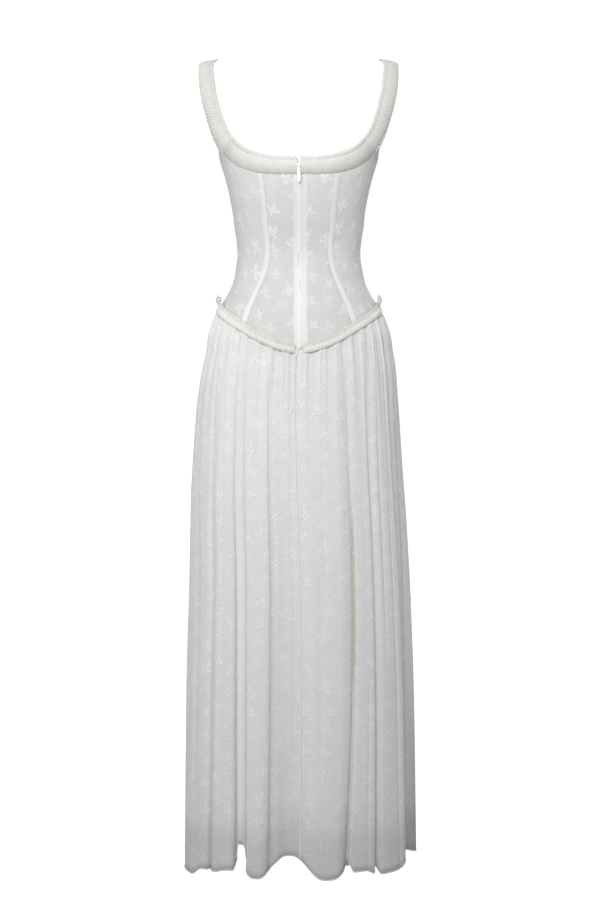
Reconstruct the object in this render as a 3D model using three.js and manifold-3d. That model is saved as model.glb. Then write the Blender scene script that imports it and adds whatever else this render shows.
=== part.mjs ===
// Maxi dress, in millimetres. +Z is up and -Y is the back, where the zip is.
// The origin lies midway between the shoulders, level with the top of the straps, so that
// "drop" is the distance below the shoulders. An angle runs round the body from the centre
// back (0), past the side at +X (90), to the centre front (180).
import * as THREE from 'three';
import Module from 'manifold-3d';
import { mergeVertices } from 'three/addons/utils/BufferGeometryUtils.js';

// Driving dimensions.
const HEM_DROP = 1455;
const LINING_DROP = 1372;
const CLOTH = 1.2;
const THIN_CLOTH = 1;
const SEAM_GAP = 0.4;
const TOP_GAP = 0.7;
const WAIST_GAP = 1;
const LAY_GAP = 0.5;
const ZIP_NOTCH = 3.4;
const ZIP_END_DROP = 620;
const TAPE_WIDTH = 12;
const BONE_WIDTH = 7;
const BINDING_HEIGHT = 5;
const TRIM_HALF_HEIGHT = 9;

// The filled-out form of the dress, as a general figure fills it. "half" is half its width,
// "back" and "front" are its depths either side of the side seams, and "round" is the power
// of its oval: 1 is an ellipse, and less is squarer.
const FORM = [
  { drop: 150, half: 171, back: 95, front: 97, round: 0.71 },
  { drop: 172, half: 161, back: 97, front: 104, round: 0.76 },
  { drop: 190, half: 146, back: 97, front: 110, round: 0.82 },
  { drop: 206, half: 140.5, back: 96.5, front: 116, round: 0.86 },
  { drop: 231, half: 133, back: 95, front: 124, round: 0.88 },
  { drop: 258, half: 127, back: 91, front: 125, round: 0.88 },
  { drop: 285, half: 122, back: 86, front: 117, round: 0.88 },
  { drop: 310, half: 119, back: 81, front: 104, round: 0.88 },
  { drop: 335, half: 115, back: 77, front: 94, round: 0.88 },
  { drop: 361, half: 113, back: 75, front: 89, round: 0.88 },
  { drop: 386, half: 116, back: 78, front: 88, round: 0.88 },
  { drop: 412, half: 121, back: 86, front: 90, round: 0.88 },
  { drop: 438, half: 133, back: 98, front: 95, round: 0.88 },
  { drop: 460, half: 146, back: 108, front: 100, round: 0.88 },
  { drop: 489, half: 159, back: 118, front: 106, round: 0.88 },
  { drop: 515, half: 167, back: 124, front: 109, round: 0.88 },
  { drop: 541, half: 171, back: 127, front: 111, round: 0.89 },
  { drop: 568, half: 177, back: 130, front: 113, round: 0.9 },
  { drop: 644, half: 186, back: 135, front: 121, round: 0.92 },
  { drop: 700, half: 190, back: 139, front: 127, round: 0.93 },
  { drop: 825, half: 198, back: 146, front: 137, round: 0.94 },
  { drop: 980, half: 204, back: 153, front: 147, round: 0.95 },
  { drop: 1185, half: 210, back: 160, front: 157, round: 0.95 },
  { drop: 1455, half: 213, back: 166, front: 166, round: 0.95 },
];

// The gathered neck band, from the centre back (or front) out to the strap. "neck" is its
// free edge and "edge" is the one sewn to the bodice or bounding the armhole. Rows without
// depths lie on the form, and the last of them is where the strap leaves the bodice.
const BACK_BAND = [
  { neckX: 0, neckDrop: 191, edgeX: 0, edgeDrop: 220.5 },
  { neckX: 27, neckDrop: 190.5, edgeX: 28, edgeDrop: 220.5 },
  { neckX: 54, neckDrop: 187.5, edgeX: 58, edgeDrop: 219 },
  { neckX: 76, neckDrop: 182, edgeX: 84, edgeDrop: 214 },
  { neckX: 93, neckDrop: 175, edgeX: 104, edgeDrop: 206.5 },
  { neckX: 107, neckDrop: 165, edgeX: 119.5, edgeDrop: 196 },
  { neckX: 118, neckDrop: 153.5, edgeX: 137, edgeDrop: 177 },
  { neckX: 126, neckDrop: 142, neckY: -76, edgeX: 149, edgeDrop: 158, edgeY: -59 },
  { neckX: 133, neckDrop: 127, neckY: -71, edgeX: 158.5, edgeDrop: 138, edgeY: -57 },
  { neckX: 141, neckDrop: 104, neckY: -65, edgeX: 168.5, edgeDrop: 108, edgeY: -53 },
  { neckX: 148, neckDrop: 77, neckY: -54, edgeX: 176, edgeDrop: 81, edgeY: -45 },
  { neckX: 153, neckDrop: 49, neckY: -38, edgeX: 180.5, edgeDrop: 55, edgeY: -32 },
  { neckX: 155, neckDrop: 22, neckY: -19, edgeX: 181.5, edgeDrop: 31, edgeY: -16 },
  { neckX: 151.5, neckDrop: 6, neckY: -3, edgeX: 177.5, edgeDrop: 17, edgeY: -2 },
  { neckX: 148, neckDrop: 1.5, neckY: 8, edgeX: 174.5, edgeDrop: 12.5, edgeY: 8 },
];
const FRONT_BAND = [
  { neckX: 0, neckDrop: 203, edgeX: 0, edgeDrop: 233 },
  { neckX: 28, neckDrop: 202.5, edgeX: 29, edgeDrop: 232.5 },
  { neckX: 57, neckDrop: 198.5, edgeX: 61, edgeDrop: 230 },
  { neckX: 80, neckDrop: 191.5, edgeX: 88, edgeDrop: 223 },
  { neckX: 97, neckDrop: 182, edgeX: 108, edgeDrop: 213 },
  { neckX: 110, neckDrop: 169, edgeX: 122, edgeDrop: 200.5 },
  { neckX: 120, neckDrop: 155, edgeX: 139.5, edgeDrop: 178.5 },
  { neckX: 129, neckDrop: 141, neckY: 84, edgeX: 152, edgeDrop: 158, edgeY: 64 },
  { neckX: 136, neckDrop: 124, neckY: 79, edgeX: 162, edgeDrop: 135, edgeY: 64 },
  { neckX: 144, neckDrop: 100, neckY: 71, edgeX: 171.5, edgeDrop: 105, edgeY: 61 },
  { neckX: 151, neckDrop: 73, neckY: 61, edgeX: 179, edgeDrop: 78, edgeY: 53 },
  { neckX: 155.5, neckDrop: 46, neckY: 48, edgeX: 183, edgeDrop: 52, edgeY: 42 },
  { neckX: 156, neckDrop: 21, neckY: 32, edgeX: 183, edgeDrop: 29, edgeY: 28 },
  { neckX: 152, neckDrop: 6, neckY: 18, edgeX: 178, edgeDrop: 16.5, edgeY: 17 },
  { neckX: 148, neckDrop: 1.5, neckY: 8, edgeX: 174.5, edgeDrop: 12.5, edgeY: 8 },
];
const BODY_ROWS = 7;

// The top edge of the side panels under the arm, between the two straps.
const UNDERARM = [
  { angle: 60, drop: 181 },
  { angle: 68, drop: 186 },
  { angle: 78, drop: 189.5 },
  { angle: 90, drop: 191 },
  { angle: 102, drop: 190 },
  { angle: 110, drop: 187.5 },
  { angle: 116, drop: 184 },
];

// The pointed waist seam: low at the centre back and front, high at the sides.
const WAIST_SEAM = [
  { angle: 0, drop: 535 },
  { angle: 8, drop: 530 },
  { angle: 18, drop: 519 },
  { angle: 40, drop: 491 },
  { angle: 65, drop: 470 },
  { angle: 90, drop: 461 },
  { angle: 115, drop: 471 },
  { angle: 140, drop: 493 },
  { angle: 162, drop: 523 },
  { angle: 172, drop: 536 },
  { angle: 180, drop: 541 },
];

// The curved princess seams, as angles away from the centre back and the centre front.
const PRINCESS = [
  { drop: 200, back: 28, front: 31 },
  { drop: 298, back: 28, front: 31 },
  { drop: 355, back: 27, front: 27 },
  { drop: 385, back: 28.5, front: 27.5 },
  { drop: 430, back: 34, front: 30 },
  { drop: 478, back: 36, front: 32 },
  { drop: 540, back: 37, front: 33 },
];

// The skirt's large folds, at the hem and where the same fold leaves the gathers, with the
// depth of the trough at the hem and half its width in degrees.
const FOLDS = [
  { hem: -76, top: -77, depth: 14, spread: 6 },
  { hem: -51, top: -55, depth: 24, spread: 5 },
  { hem: -27, top: -35, depth: 50, spread: 4.5 },
  { hem: -4, top: -6, depth: 64, spread: 7 },
  { hem: 24, top: 25, depth: 42, spread: 4.2 },
  { hem: 37.5, top: 38.5, depth: 40, spread: 4.2 },
  { hem: 58, top: 61, depth: 44, spread: 4.8 },
  { hem: 81, top: 81, depth: 18, spread: 5.5 },
  { hem: 101, top: 100, depth: 30, spread: 5 },
  { hem: 121, top: 119, depth: 46, spread: 5 },
  { hem: 142, top: 140, depth: 34, spread: 5.5 },
  { hem: 161, top: 159, depth: 52, spread: 6.5 },
  { hem: 180, top: 180, depth: 38, spread: 5 },
  { hem: 203, top: 205, depth: 48, spread: 5.5 },
  { hem: 224, top: 227, depth: 36, spread: 5 },
  { hem: 243, top: 246, depth: 46, spread: 6 },
  { hem: 261, top: 262, depth: 24, spread: 5 },
];
const SIDE_SEAMS = [{ hem: -90, top: -90 }, { hem: 0, top: 0 }, { hem: 90, top: 90 }, { hem: 270, top: 270 }];
const FOLD_ANCHORS = [...SIDE_SEAMS, ...FOLDS].sort((a, b) => a.hem - b.hem);
const LINING_FOLD_SHARE = 0.5;
const LINING_INSET = { top: 3.3, hem: 40 };

// The zip's slider and its hanging pull tab, at the centre back.
const PULL_AXIS = { y: -104.3, drop: 207 };
const PULL = { eyeRadius: 2, holeRadius: 0.95, halfWidth: 1.8, thickness: 1, length: 29, endHalfWidth: 3 };
const PIN_RADIUS = 0.6;
const SLIDER = { halfWidth: 3, top: 203, bottom: 216, inner: -95.9, outer: -101.4, earThickness: 0.7 };

const CREAM = { color: '#f1eee2', roughness: 0.8, metalness: 0 };
const WHITE = { color: '#f4f4f3', roughness: 0.75, metalness: 0 };
const SATIN = { color: '#f7f7f7', roughness: 0.5, metalness: 0 };
const ENAMEL = { color: '#f2f2f0', roughness: 0.35, metalness: 0.2 };

const wasm = await Module();
wasm.setup();
const dress = new THREE.Group();
const radians = THREE.MathUtils.degToRad;
const { lerp, clamp } = THREE.MathUtils;

function slopeBetween(rows, by, column, i) {
  return (rows[i + 1][column] - rows[i][column]) / (rows[i + 1][by] - rows[i][by]);
}

function slopeAt(rows, by, column, i) {
  if (i === 0) return slopeBetween(rows, by, column, 0);
  if (i === rows.length - 1) return slopeBetween(rows, by, column, i - 1);
  const before = slopeBetween(rows, by, column, i - 1);
  const after = slopeBetween(rows, by, column, i);
  return before * after <= 0 ? 0 : (2 * before * after) / (before + after);
}

// A smooth value between a table's rows that never overshoots them.
function smoothValue(rows, by, column, at) {
  const place = clamp(at, rows[0][by], rows.at(-1)[by]);
  let i = 0;
  while (i < rows.length - 2 && place > rows[i + 1][by]) i += 1;
  const span = rows[i + 1][by] - rows[i][by];
  const t = (place - rows[i][by]) / span;
  const startSlope = slopeAt(rows, by, column, i) * span;
  const endSlope = slopeAt(rows, by, column, i + 1) * span;
  return (1 + 2 * t) * (1 - t) ** 2 * rows[i][column] + t * (1 - t) ** 2 * startSlope
    + t * t * (3 - 2 * t) * rows[i + 1][column] + t * t * (t - 1) * endSlope;
}

// Points of the form, the skirt and the lining.

function formPoint(angle, drop) {
  const half = smoothValue(FORM, 'drop', 'half', drop);
  const round = smoothValue(FORM, 'drop', 'round', drop);
  const across = Math.sin(radians(angle));
  const along = Math.cos(radians(angle));
  const depth = smoothValue(FORM, 'drop', along > 0 ? 'back' : 'front', drop);
  return new THREE.Vector3(
    half * Math.sign(across) * Math.abs(across) ** round,
    -depth * Math.sign(along) * Math.abs(along) ** round,
    -drop,
  );
}

// The angle at which the form reaches a given distance from its centre plane.
function angleAcross(x, drop) {
  const share = Math.min(x / smoothValue(FORM, 'drop', 'half', drop), 1);
  const round = smoothValue(FORM, 'drop', 'round', drop);
  return THREE.MathUtils.radToDeg(Math.asin(share ** (1 / round)));
}

function mirroredAngle(angle) {
  const turned = ((angle % 360) + 360) % 360;
  return turned > 180 ? 360 - turned : turned;
}

function waistDrop(angle) {
  return smoothValue(WAIST_SEAM, 'angle', 'drop', mirroredAngle(angle));
}

function foldDepth(hemAngle) {
  let depth = 0;
  for (const fold of FOLDS) {
    for (const turn of [-360, 0, 360]) {
      depth += fold.depth * Math.exp(-(((hemAngle - fold.hem + turn) / fold.spread) ** 2));
    }
  }
  return depth;
}

// How far a point lies down the skirt: 0 at the waist seam and 1 at the hem.
function downSkirt(angle, drop) {
  return clamp((drop - waistDrop(angle)) / (HEM_DROP - waistDrop(angle)), 0, 1);
}

// The skirt's usual depth on either side, which turns its folds square to its surface.
const MEAN_DEPTH = 150;

function foldedPoint(hemAngle, drop, foldShare, inset) {
  const topAngle = smoothValue(FOLD_ANCHORS, 'hem', 'top', hemAngle);
  const down = downSkirt(topAngle, drop);
  const angle = lerp(topAngle, hemAngle, down);
  const point = formPoint(angle, drop);
  const half = smoothValue(FORM, 'drop', 'half', drop);
  const inward = new THREE.Vector3(-point.x / half ** 2, -point.y / MEAN_DEPTH ** 2, 0).normalize();
  const depth = foldShare * foldDepth(hemAngle) * down ** 0.75;
  return point.addScaledVector(inward, depth + lerp(inset.top, inset.hem, down ** 0.6));
}

const NO_INSET = { top: 0, hem: 0 };
const skirtPoint = (angle, drop) => foldedPoint(angle, drop, 1, NO_INSET);
const liningPoint = (angle, drop) => foldedPoint(angle, drop, LINING_FOLD_SHARE, LINING_INSET);

// The outward direction of a surface that is given by angle and drop.
function outwardAt(surface, angle, drop) {
  const round = surface(angle + 0.2, drop).sub(surface(angle - 0.2, drop));
  const down = surface(angle, drop + 0.5).sub(surface(angle, drop - 0.5));
  return down.cross(round).normalize();
}

function raised(surface, angle, drop, height) {
  return surface(angle, drop).addScaledVector(outwardAt(surface, angle, drop), height);
}

// Closed solids.

function facingOut(positions, triangles) {
  const corners = triangles.map((triangle) => triangle.map((i) => positions[i]));
  const volume = corners.reduce((sum, [a, b, c]) => sum + a.dot(b.clone().cross(c)), 0);
  return volume < 0 ? triangles.map(([a, b, c]) => [a, c, b]) : triangles;
}

function addMesh(name, finish, positions, triangles) {
  const geometry = new THREE.BufferGeometry();
  const numbers = positions.flatMap((point) => point.toArray());
  geometry.setAttribute('position', new THREE.Float32BufferAttribute(numbers, 3));
  geometry.setIndex(facingOut(positions, triangles).flat());
  addGeometry(name, finish, geometry);
}

function addGeometry(name, finish, geometry) {
  geometry.computeVertexNormals();
  const mesh = new THREE.Mesh(geometry, new THREE.MeshStandardMaterial(finish));
  mesh.name = name;
  dress.add(mesh);
}

// A wall between an outer and an inner grid of points, both given row by row.
function addWall(name, finish, outer, inner) {
  const rows = outer.length;
  const columns = outer[0].length;
  const count = rows * columns;
  const index = (row, column) => row * columns + column;
  const triangles = [];
  for (let row = 0; row + 1 < rows; row += 1) {
    for (let column = 0; column + 1 < columns; column += 1) {
      const a = index(row, column);
      const b = index(row, column + 1);
      const c = index(row + 1, column);
      const d = index(row + 1, column + 1);
      triangles.push([a, c, b], [b, c, d]);
      triangles.push([a + count, b + count, c + count], [b + count, d + count, c + count]);
    }
  }
  const rim = [];
  for (let row = 0; row + 1 < rows; row += 1) rim.push(index(row, 0));
  for (let column = 0; column + 1 < columns; column += 1) rim.push(index(rows - 1, column));
  for (let row = rows - 1; row > 0; row -= 1) rim.push(index(row, columns - 1));
  for (let column = columns - 1; column > 0; column -= 1) rim.push(index(0, column));
  rim.forEach((from, i) => {
    const to = rim[(i + 1) % rim.length];
    triangles.push([to, from, from + count], [to, from + count, to + count]);
  });
  addMesh(name, finish, [...outer, ...inner].flat(), triangles);
}

// A bar through a row of equal closed sections, with its two ends filled.
function addBar(name, finish, sections) {
  const size = sections[0].length;
  const last = (sections.length - 1) * size;
  const triangles = [];
  for (let i = 0; i + 1 < sections.length; i += 1) {
    for (let j = 0; j < size; j += 1) {
      const a = i * size + j;
      const b = i * size + ((j + 1) % size);
      triangles.push([a, b, a + size], [b, b + size, a + size]);
    }
  }
  for (let j = 1; j + 1 < size; j += 1) {
    triangles.push([0, j + 1, j], [last, last + j, last + j + 1]);
  }
  addMesh(name, finish, sections.flat(), triangles);
}

const acrossCentre = ({ x, y, z }) => new THREE.Vector3(-x, y, z);
const mirrored = (sections) => sections.map((section) => section.map(acrossCentre));

// The neck band: gathered cloth round the whole neckline, which also makes the straps.

// Its section, from the neck edge (0) to the sewn edge (1), with the height of its face.
const BAND_SECTION = [
  { across: 0, height: -1 },
  { across: 0, height: 2.4 },
  { across: 0.18, height: 4.6 },
  { across: 0.8, height: 4.6 },
  { across: 1, height: 1.8 },
  { across: 1, height: -0.2 },
];
const BAND_STEPS = 19;

function onForm(x, drop, isBack) {
  const angle = angleAcross(x, drop);
  return formPoint(isBack ? angle : 180 - angle, drop);
}

// One edge of the band, "neck" or "edge": on the form at first, and free along the strap.
function bandEdge(rows, edge, isBack, at) {
  const x = smoothValue(rows, 'step', `${edge}X`, at);
  const drop = smoothValue(rows, 'step', `${edge}Drop`, at);
  const formY = onForm(x, Math.max(drop, FORM[0].drop), isBack).y;
  const strapY = smoothValue(rows.slice(BODY_ROWS), 'step', `${edge}Y`, at);
  const lift = clamp(at - (BODY_ROWS - 1), 0, 1);
  return new THREE.Vector3(x, lerp(formY, strapY, lift), -drop);
}

function bandEdges(band, isBack, at) {
  const rows = band.map((row, step) => ({ ...row, step }));
  return { neck: bandEdge(rows, 'neck', isBack, at), edge: bandEdge(rows, 'edge', isBack, at) };
}

// Half of the band, from a centre line to the shoulder, as sections.
function bandSections(band, isBack, startX) {
  const last = band.length - 1;
  const sections = [];
  for (let step = 0; step <= BAND_STEPS; step += 1) {
    const at = (last * step) / BAND_STEPS;
    const { neck, edge } = bandEdges(band, isBack, at);
    const before = bandEdges(band, isBack, Math.max(at - 0.05, 0));
    const after = bandEdges(band, isBack, Math.min(at + 0.05, last));
    const across = edge.clone().sub(neck).normalize();
    const run = after.neck.add(after.edge).sub(before.neck).sub(before.edge);
    const outward = isBack ? across.clone().cross(run).normalize() : run.clone().cross(across).normalize();
    if (step === 0) {
      neck.x = startX;
      edge.x = startX;
      outward.set(0, isBack ? -1 : 1, 0);
    }
    if (step === BAND_STEPS) outward.set(-across.z, 0, across.x).normalize();
    const corner = (row) => neck.clone().lerp(edge, row.across).addScaledVector(outward, row.height);
    sections.push(BAND_SECTION.map(corner));
  }
  return sections;
}

// Moves the last of the sections along Y, so that two runs meet at a seam gap.
function shortened(sections, gap) {
  return [...sections.slice(0, -1), sections.at(-1).map(({ x, y, z }) => new THREE.Vector3(x, y + gap, z))];
}

const backBand = shortened(bandSections(BACK_BAND, true, ZIP_NOTCH), -SEAM_GAP / 2);
const frontBand = shortened(bandSections(FRONT_BAND, false, 0), SEAM_GAP / 2);
addBar('neck_band_back_right', CREAM, backBand);
addBar('neck_band_back_left', CREAM, mirrored(backBand));
addBar('neck_band_front', CREAM, [...mirrored(frontBand).reverse(), ...frontBand.slice(1)]);

// The bodice: seven panels cut between the centre back, the princess and the side seams.

// The top edge of the bodice, read off the band's sewn edge and then along the armhole.
function topEdgeRows(band, isBack) {
  const rows = [];
  const last = band.length - 1;
  for (let step = 0; step <= BAND_STEPS; step += 1) {
    const at = (last * step) / BAND_STEPS;
    if (at > BODY_ROWS - 1) break;
    const { edge } = bandEdges(band, isBack, at);
    const angle = angleAcross(edge.x, -edge.z);
    rows.push({ angle: isBack ? angle : 180 - angle, drop: -edge.z });
  }
  return rows;
}

const TOP_EDGE = [
  ...topEdgeRows(BACK_BAND, true),
  ...UNDERARM,
  ...topEdgeRows(FRONT_BAND, false).reverse(),
];

function topDrop(angle) {
  return smoothValue(TOP_EDGE, 'angle', 'drop', mirroredAngle(angle)) + TOP_GAP;
}

const PANEL_SHARES = [0, 0.13, 0.26, 0.39, 0.52, 0.64, 0.76, 0.88, 1];

function princessAngle(side, drop) {
  return smoothValue(PRINCESS, 'drop', side, drop);
}

// A seam's gap as an angle, on a form of about this radius.
const SEAM_RADIUS = 120;
const HALF_GAP_ANGLE = THREE.MathUtils.radToDeg(SEAM_GAP / 2 / SEAM_RADIUS);

// A panel between two seams. Its columns start at the rows of the top edge, so that
// the panel and the band above it turn their corners together.
function addPanel(name, leftSeam, rightSeam) {
  const left = (drop) => leftSeam(drop) + HALF_GAP_ANGLE;
  const right = (drop) => rightSeam(drop) - HALF_GAP_ANGLE;
  const firstDrop = 205;
  const width = right(firstDrop) - left(firstDrop);
  const inside = [...TOP_EDGE, ...TOP_EDGE.map((row) => ({ ...row, angle: 360 - row.angle }))]
    .map((row) => row.angle)
    .flatMap((angle) => [angle, angle - 360])
    .filter((angle) => angle > left(firstDrop) + 2 && angle < right(firstDrop) - 2)
    .sort((a, b) => a - b)
    .filter((angle, i, all) => i === 0 || angle - all[i - 1] > 0.5);
  const shares = [0, ...inside.map((angle) => (angle - left(firstDrop)) / width), 1];
  const outer = [];
  const inner = [];
  for (const down of PANEL_SHARES) {
    const outerRow = [];
    const innerRow = [];
    for (const share of shares) {
      let drop = lerp(firstDrop, 500, down);
      let angle = 0;
      for (let pass = 0; pass < 8; pass += 1) {
        angle = lerp(left(drop), right(drop), share);
        drop = lerp(topDrop(angle), waistDrop(angle) - WAIST_GAP / 2, down);
      }
      outerRow.push(formPoint(angle, drop));
      innerRow.push(raised(formPoint, angle, drop, -CLOTH));
    }
    outer.push(outerRow);
    inner.push(innerRow);
  }
  addWall(name, WHITE, outer, inner);
}

const backSeam = (sign) => (drop) => sign * princessAngle('back', drop);
const frontSeam = (sign) => (drop) => 180 + sign * princessAngle('front', drop);
const straight = (angle) => () => angle;
addPanel('bodice_back_centre_left', backSeam(-1), straight(0));
addPanel('bodice_back_centre_right', straight(0), backSeam(1));
addPanel('bodice_back_side_left', straight(-90), backSeam(-1));
addPanel('bodice_back_side_right', backSeam(1), straight(90));
addPanel('bodice_front_side_right', straight(90), frontSeam(-1));
addPanel('bodice_front_centre', frontSeam(-1), frontSeam(1));
addPanel('bodice_front_side_left', frontSeam(1), straight(270));

// Strips that lie on a surface: bone casings outside, zip tapes inside.

// The drop of a panel's row of corners, which follows its top edge and the waist seam.
const panelRow = (share) => (angle) => lerp(topDrop(angle), waistDrop(angle) - WAIST_GAP / 2, share);
const skirtRow = (share) => (angle) => lerp(waistDrop(angle) + WAIST_GAP / 2, HEM_DROP, share);

// A strip along a line, between two angles, with its two faces at given heights.
function addStrip(name, finish, surface, rows, fromAngle, toAngle, lowHeight, highHeight) {
  const outer = [];
  const inner = [];
  for (const rowDrop of rows) {
    const nominal = rowDrop(fromAngle(350));
    const angles = [0, 0.33, 0.67, 1].map((share) => lerp(fromAngle(nominal), toAngle(nominal), share));
    outer.push(angles.map((angle) => raised(surface, angle, rowDrop(angle), highHeight)));
    inner.push(angles.map((angle) => raised(surface, angle, rowDrop(angle), lowHeight)));
  }
  addWall(name, finish, outer, inner);
}

const CASING_HALF_ANGLE = THREE.MathUtils.radToDeg(BONE_WIDTH / 2 / SEAM_RADIUS);
const CASING_TOP_CLEARANCE = 2;

function addCasing(name, seam) {
  const rows = [
    (angle) => topDrop(angle) + CASING_TOP_CLEARANCE,
    ...PANEL_SHARES.slice(1, -1).map(panelRow),
    (angle) => waistDrop(angle) - TRIM_HALF_HEIGHT - CASING_TOP_CLEARANCE,
  ];
  addStrip(name, SATIN, formPoint, rows, (drop) => seam(drop) - CASING_HALF_ANGLE,
    (drop) => seam(drop) + CASING_HALF_ANGLE, LAY_GAP, LAY_GAP + THIN_CLOTH);
}

addCasing('bone_casing_back_left', backSeam(-1));
addCasing('bone_casing_back_right', backSeam(1));
addCasing('bone_casing_front_right', frontSeam(-1));
addCasing('bone_casing_front_left', frontSeam(1));

const TAPE_TOP_DROP = 194;
const SKIRT_SHARES = [0, 0.035, 0.09, 0.17, 0.29, 0.45, 0.64, 0.82, 1];
const tapeRows = [
  () => TAPE_TOP_DROP,
  ...PANEL_SHARES.map(panelRow),
  ...SKIRT_SHARES.map(skirtRow).filter((row) => row(0) < ZIP_END_DROP),
  () => ZIP_END_DROP,
];
const centreBack = (angle, drop) => (drop < waistDrop(angle) ? formPoint : skirtPoint)(angle, drop);
const tapeEdge = (drop) => angleAcross(TAPE_WIDTH, drop);
const tapeMiddle = (drop) => angleAcross(SEAM_GAP / 2, drop);
const TAPE_OUTER = -CLOTH - LAY_GAP;
for (const [side, sign] of [['left', -1], ['right', 1]]) {
  addStrip(`zip_tape_${side}`, SATIN, centreBack, tapeRows, (drop) => sign * tapeMiddle(drop),
    (drop) => sign * tapeEdge(drop), TAPE_OUTER - THIN_CLOTH, TAPE_OUTER);
}

// The binding of each armhole, under the arm from strap to strap.
const BINDING_SPAN = { from: 62, to: 117 };

function bindingSections() {
  const sections = [];
  for (let angle = BINDING_SPAN.from; angle <= BINDING_SPAN.to; angle += 5) {
    const base = topDrop(angle) - SEAM_GAP;
    const ring = [
      { up: 0, height: 1 },
      { up: BINDING_HEIGHT, height: 1 },
      { up: BINDING_HEIGHT, height: -CLOTH - 1 },
      { up: 0, height: -CLOTH - 1 },
    ];
    sections.push(ring.map(({ up, height }) => {
      const point = raised(formPoint, angle, base, height);
      point.z += up;
      return point;
    }));
  }
  return sections;
}

addBar('armhole_binding_right', CREAM, bindingSections());
addBar('armhole_binding_left', CREAM, mirrored(bindingSections()));

// The gathered trim that covers the pointed waist seam.

const TRIM_FACE = [
  { below: -1, height: 2.2 },
  { below: -0.5, height: 4.6 },
  { below: 0.3, height: 6.2 },
  { below: 1, height: 3 },
];
const TRIM_BED = [1, 0, -1];

const TRIM_STEP_ANGLE = 6;

function trimSections(fromAngle, toAngle) {
  const steps = Math.round(Math.abs(toAngle - fromAngle) / TRIM_STEP_ANGLE);
  const sections = [];
  for (let step = 0; step <= steps; step += 1) {
    const angle = lerp(fromAngle, toAngle, step / steps);
    const seam = waistDrop(angle);
    const at = (below, height) => raised(formPoint, angle, seam + below * TRIM_HALF_HEIGHT, height);
    const face = TRIM_FACE.map((row) => at(row.below, row.height));
    const bed = TRIM_BED.map((below) => at(below, LAY_GAP + 0.1));
    sections.push([...face, ...bed]);
  }
  return sections;
}

const TRIM_START = 0.35;
addBar('waist_trim_back_right', CREAM, trimSections(TRIM_START, 90 - HALF_GAP_ANGLE));
addBar('waist_trim_back_left', CREAM, trimSections(-TRIM_START, -90 + HALF_GAP_ANGLE));
addBar('waist_trim_front', CREAM, trimSections(90 + HALF_GAP_ANGLE, 270 - HALF_GAP_ANGLE));

// The skirt and its lining.

// Columns beside the zip and at the front's point, where the waist seam turns sharply.
const SEAM_COLUMNS = [-3, -1.5, 1.5, 3, 180];

// Columns that crowd into the folds' troughs, and never lie further apart than "widest".
function foldColumns(from, to, offsets, widest) {
  const angles = [from, to, ...SEAM_COLUMNS.filter((angle) => angle > from + 1 && angle < to - 1)];
  for (const fold of FOLDS) {
    for (const offset of offsets) {
      const angle = fold.hem + offset * fold.spread;
      if (angle > from + 1 && angle < to - 1) angles.push(angle);
    }
  }
  angles.sort((a, b) => a - b);
  const spaced = [from];
  for (const angle of angles.slice(1)) {
    const last = spaced.at(-1);
    if (angle < to && angle - last < 1.2) continue;
    const parts = Math.ceil((angle - last) / widest);
    for (let part = 1; part <= parts; part += 1) spaced.push(lerp(last, angle, part / parts));
  }
  return spaced;
}

// A panel of the skirt or lining: "cut" holds its surface, columns, rows, end and thickness.
function addSkirtPanel(name, finish, cut, from, to) {
  const { surface, columns, shares, endDrop, thickness } = cut;
  const outer = [];
  const inner = [];
  const angles = columns(from + HALF_GAP_ANGLE, to - HALF_GAP_ANGLE);
  for (const share of shares) {
    const row = angles.map((angle) => {
      const top = waistDrop(smoothValue(FOLD_ANCHORS, 'hem', 'top', angle)) + WAIST_GAP / 2;
      return { angle, drop: lerp(top, endDrop, share) };
    });
    outer.push(row.map(({ angle, drop }) => surface(angle, drop)));
    inner.push(row.map(({ angle, drop }) => raised(surface, angle, drop, -thickness)));
  }
  addWall(name, finish, outer, inner);
}

const LINING_SHARES = [0, 0.02, 0.1, 0.3, 0.62, 1];
const skirtColumns = (from, to) => foldColumns(from, to, [-1.9, -1.1, -0.4, 0.4, 1.1, 1.9], 6);
const liningColumns = (from, to) => foldColumns(from, to, [-1.3, 0, 1.3], 9);
const skirtCut = {
  surface: skirtPoint,
  columns: skirtColumns,
  shares: SKIRT_SHARES,
  endDrop: HEM_DROP,
  thickness: CLOTH,
};
const liningCut = {
  surface: liningPoint,
  columns: liningColumns,
  shares: LINING_SHARES,
  endDrop: LINING_DROP,
  thickness: THIN_CLOTH,
};
addSkirtPanel('skirt_back_left', WHITE, skirtCut, -90, 0);
addSkirtPanel('skirt_back_right', WHITE, skirtCut, 0, 90);
addSkirtPanel('skirt_front', WHITE, skirtCut, 90, 270);
addSkirtPanel('lining_back', SATIN, liningCut, -90, 90);
addSkirtPanel('lining_front', SATIN, liningCut, 90, 270);

// The zip's slider, which holds the pull tab on a pin between two ears.

function solidOf(geometry) {
  geometry.deleteAttribute('normal');
  geometry.deleteAttribute('uv');
  const merged = mergeVertices(geometry);
  return new wasm.Manifold(new wasm.Mesh({
    numProp: 3,
    vertProperties: new Float32Array(merged.attributes.position.array),
    triVerts: new Uint32Array(merged.index.array),
  }));
}

function geometryOf(solid) {
  const { vertProperties, triVerts } = solid.getMesh();
  const geometry = new THREE.BufferGeometry();
  geometry.setAttribute('position', new THREE.BufferAttribute(vertProperties, 3));
  geometry.setIndex(new THREE.BufferAttribute(triVerts, 1));
  return geometry;
}

function block(low, high) {
  const size = high.map((value, i) => value - low[i]);
  const middle = high.map((value, i) => (value + low[i]) / 2);
  return new THREE.BoxGeometry(...size).translate(...middle);
}

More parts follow.
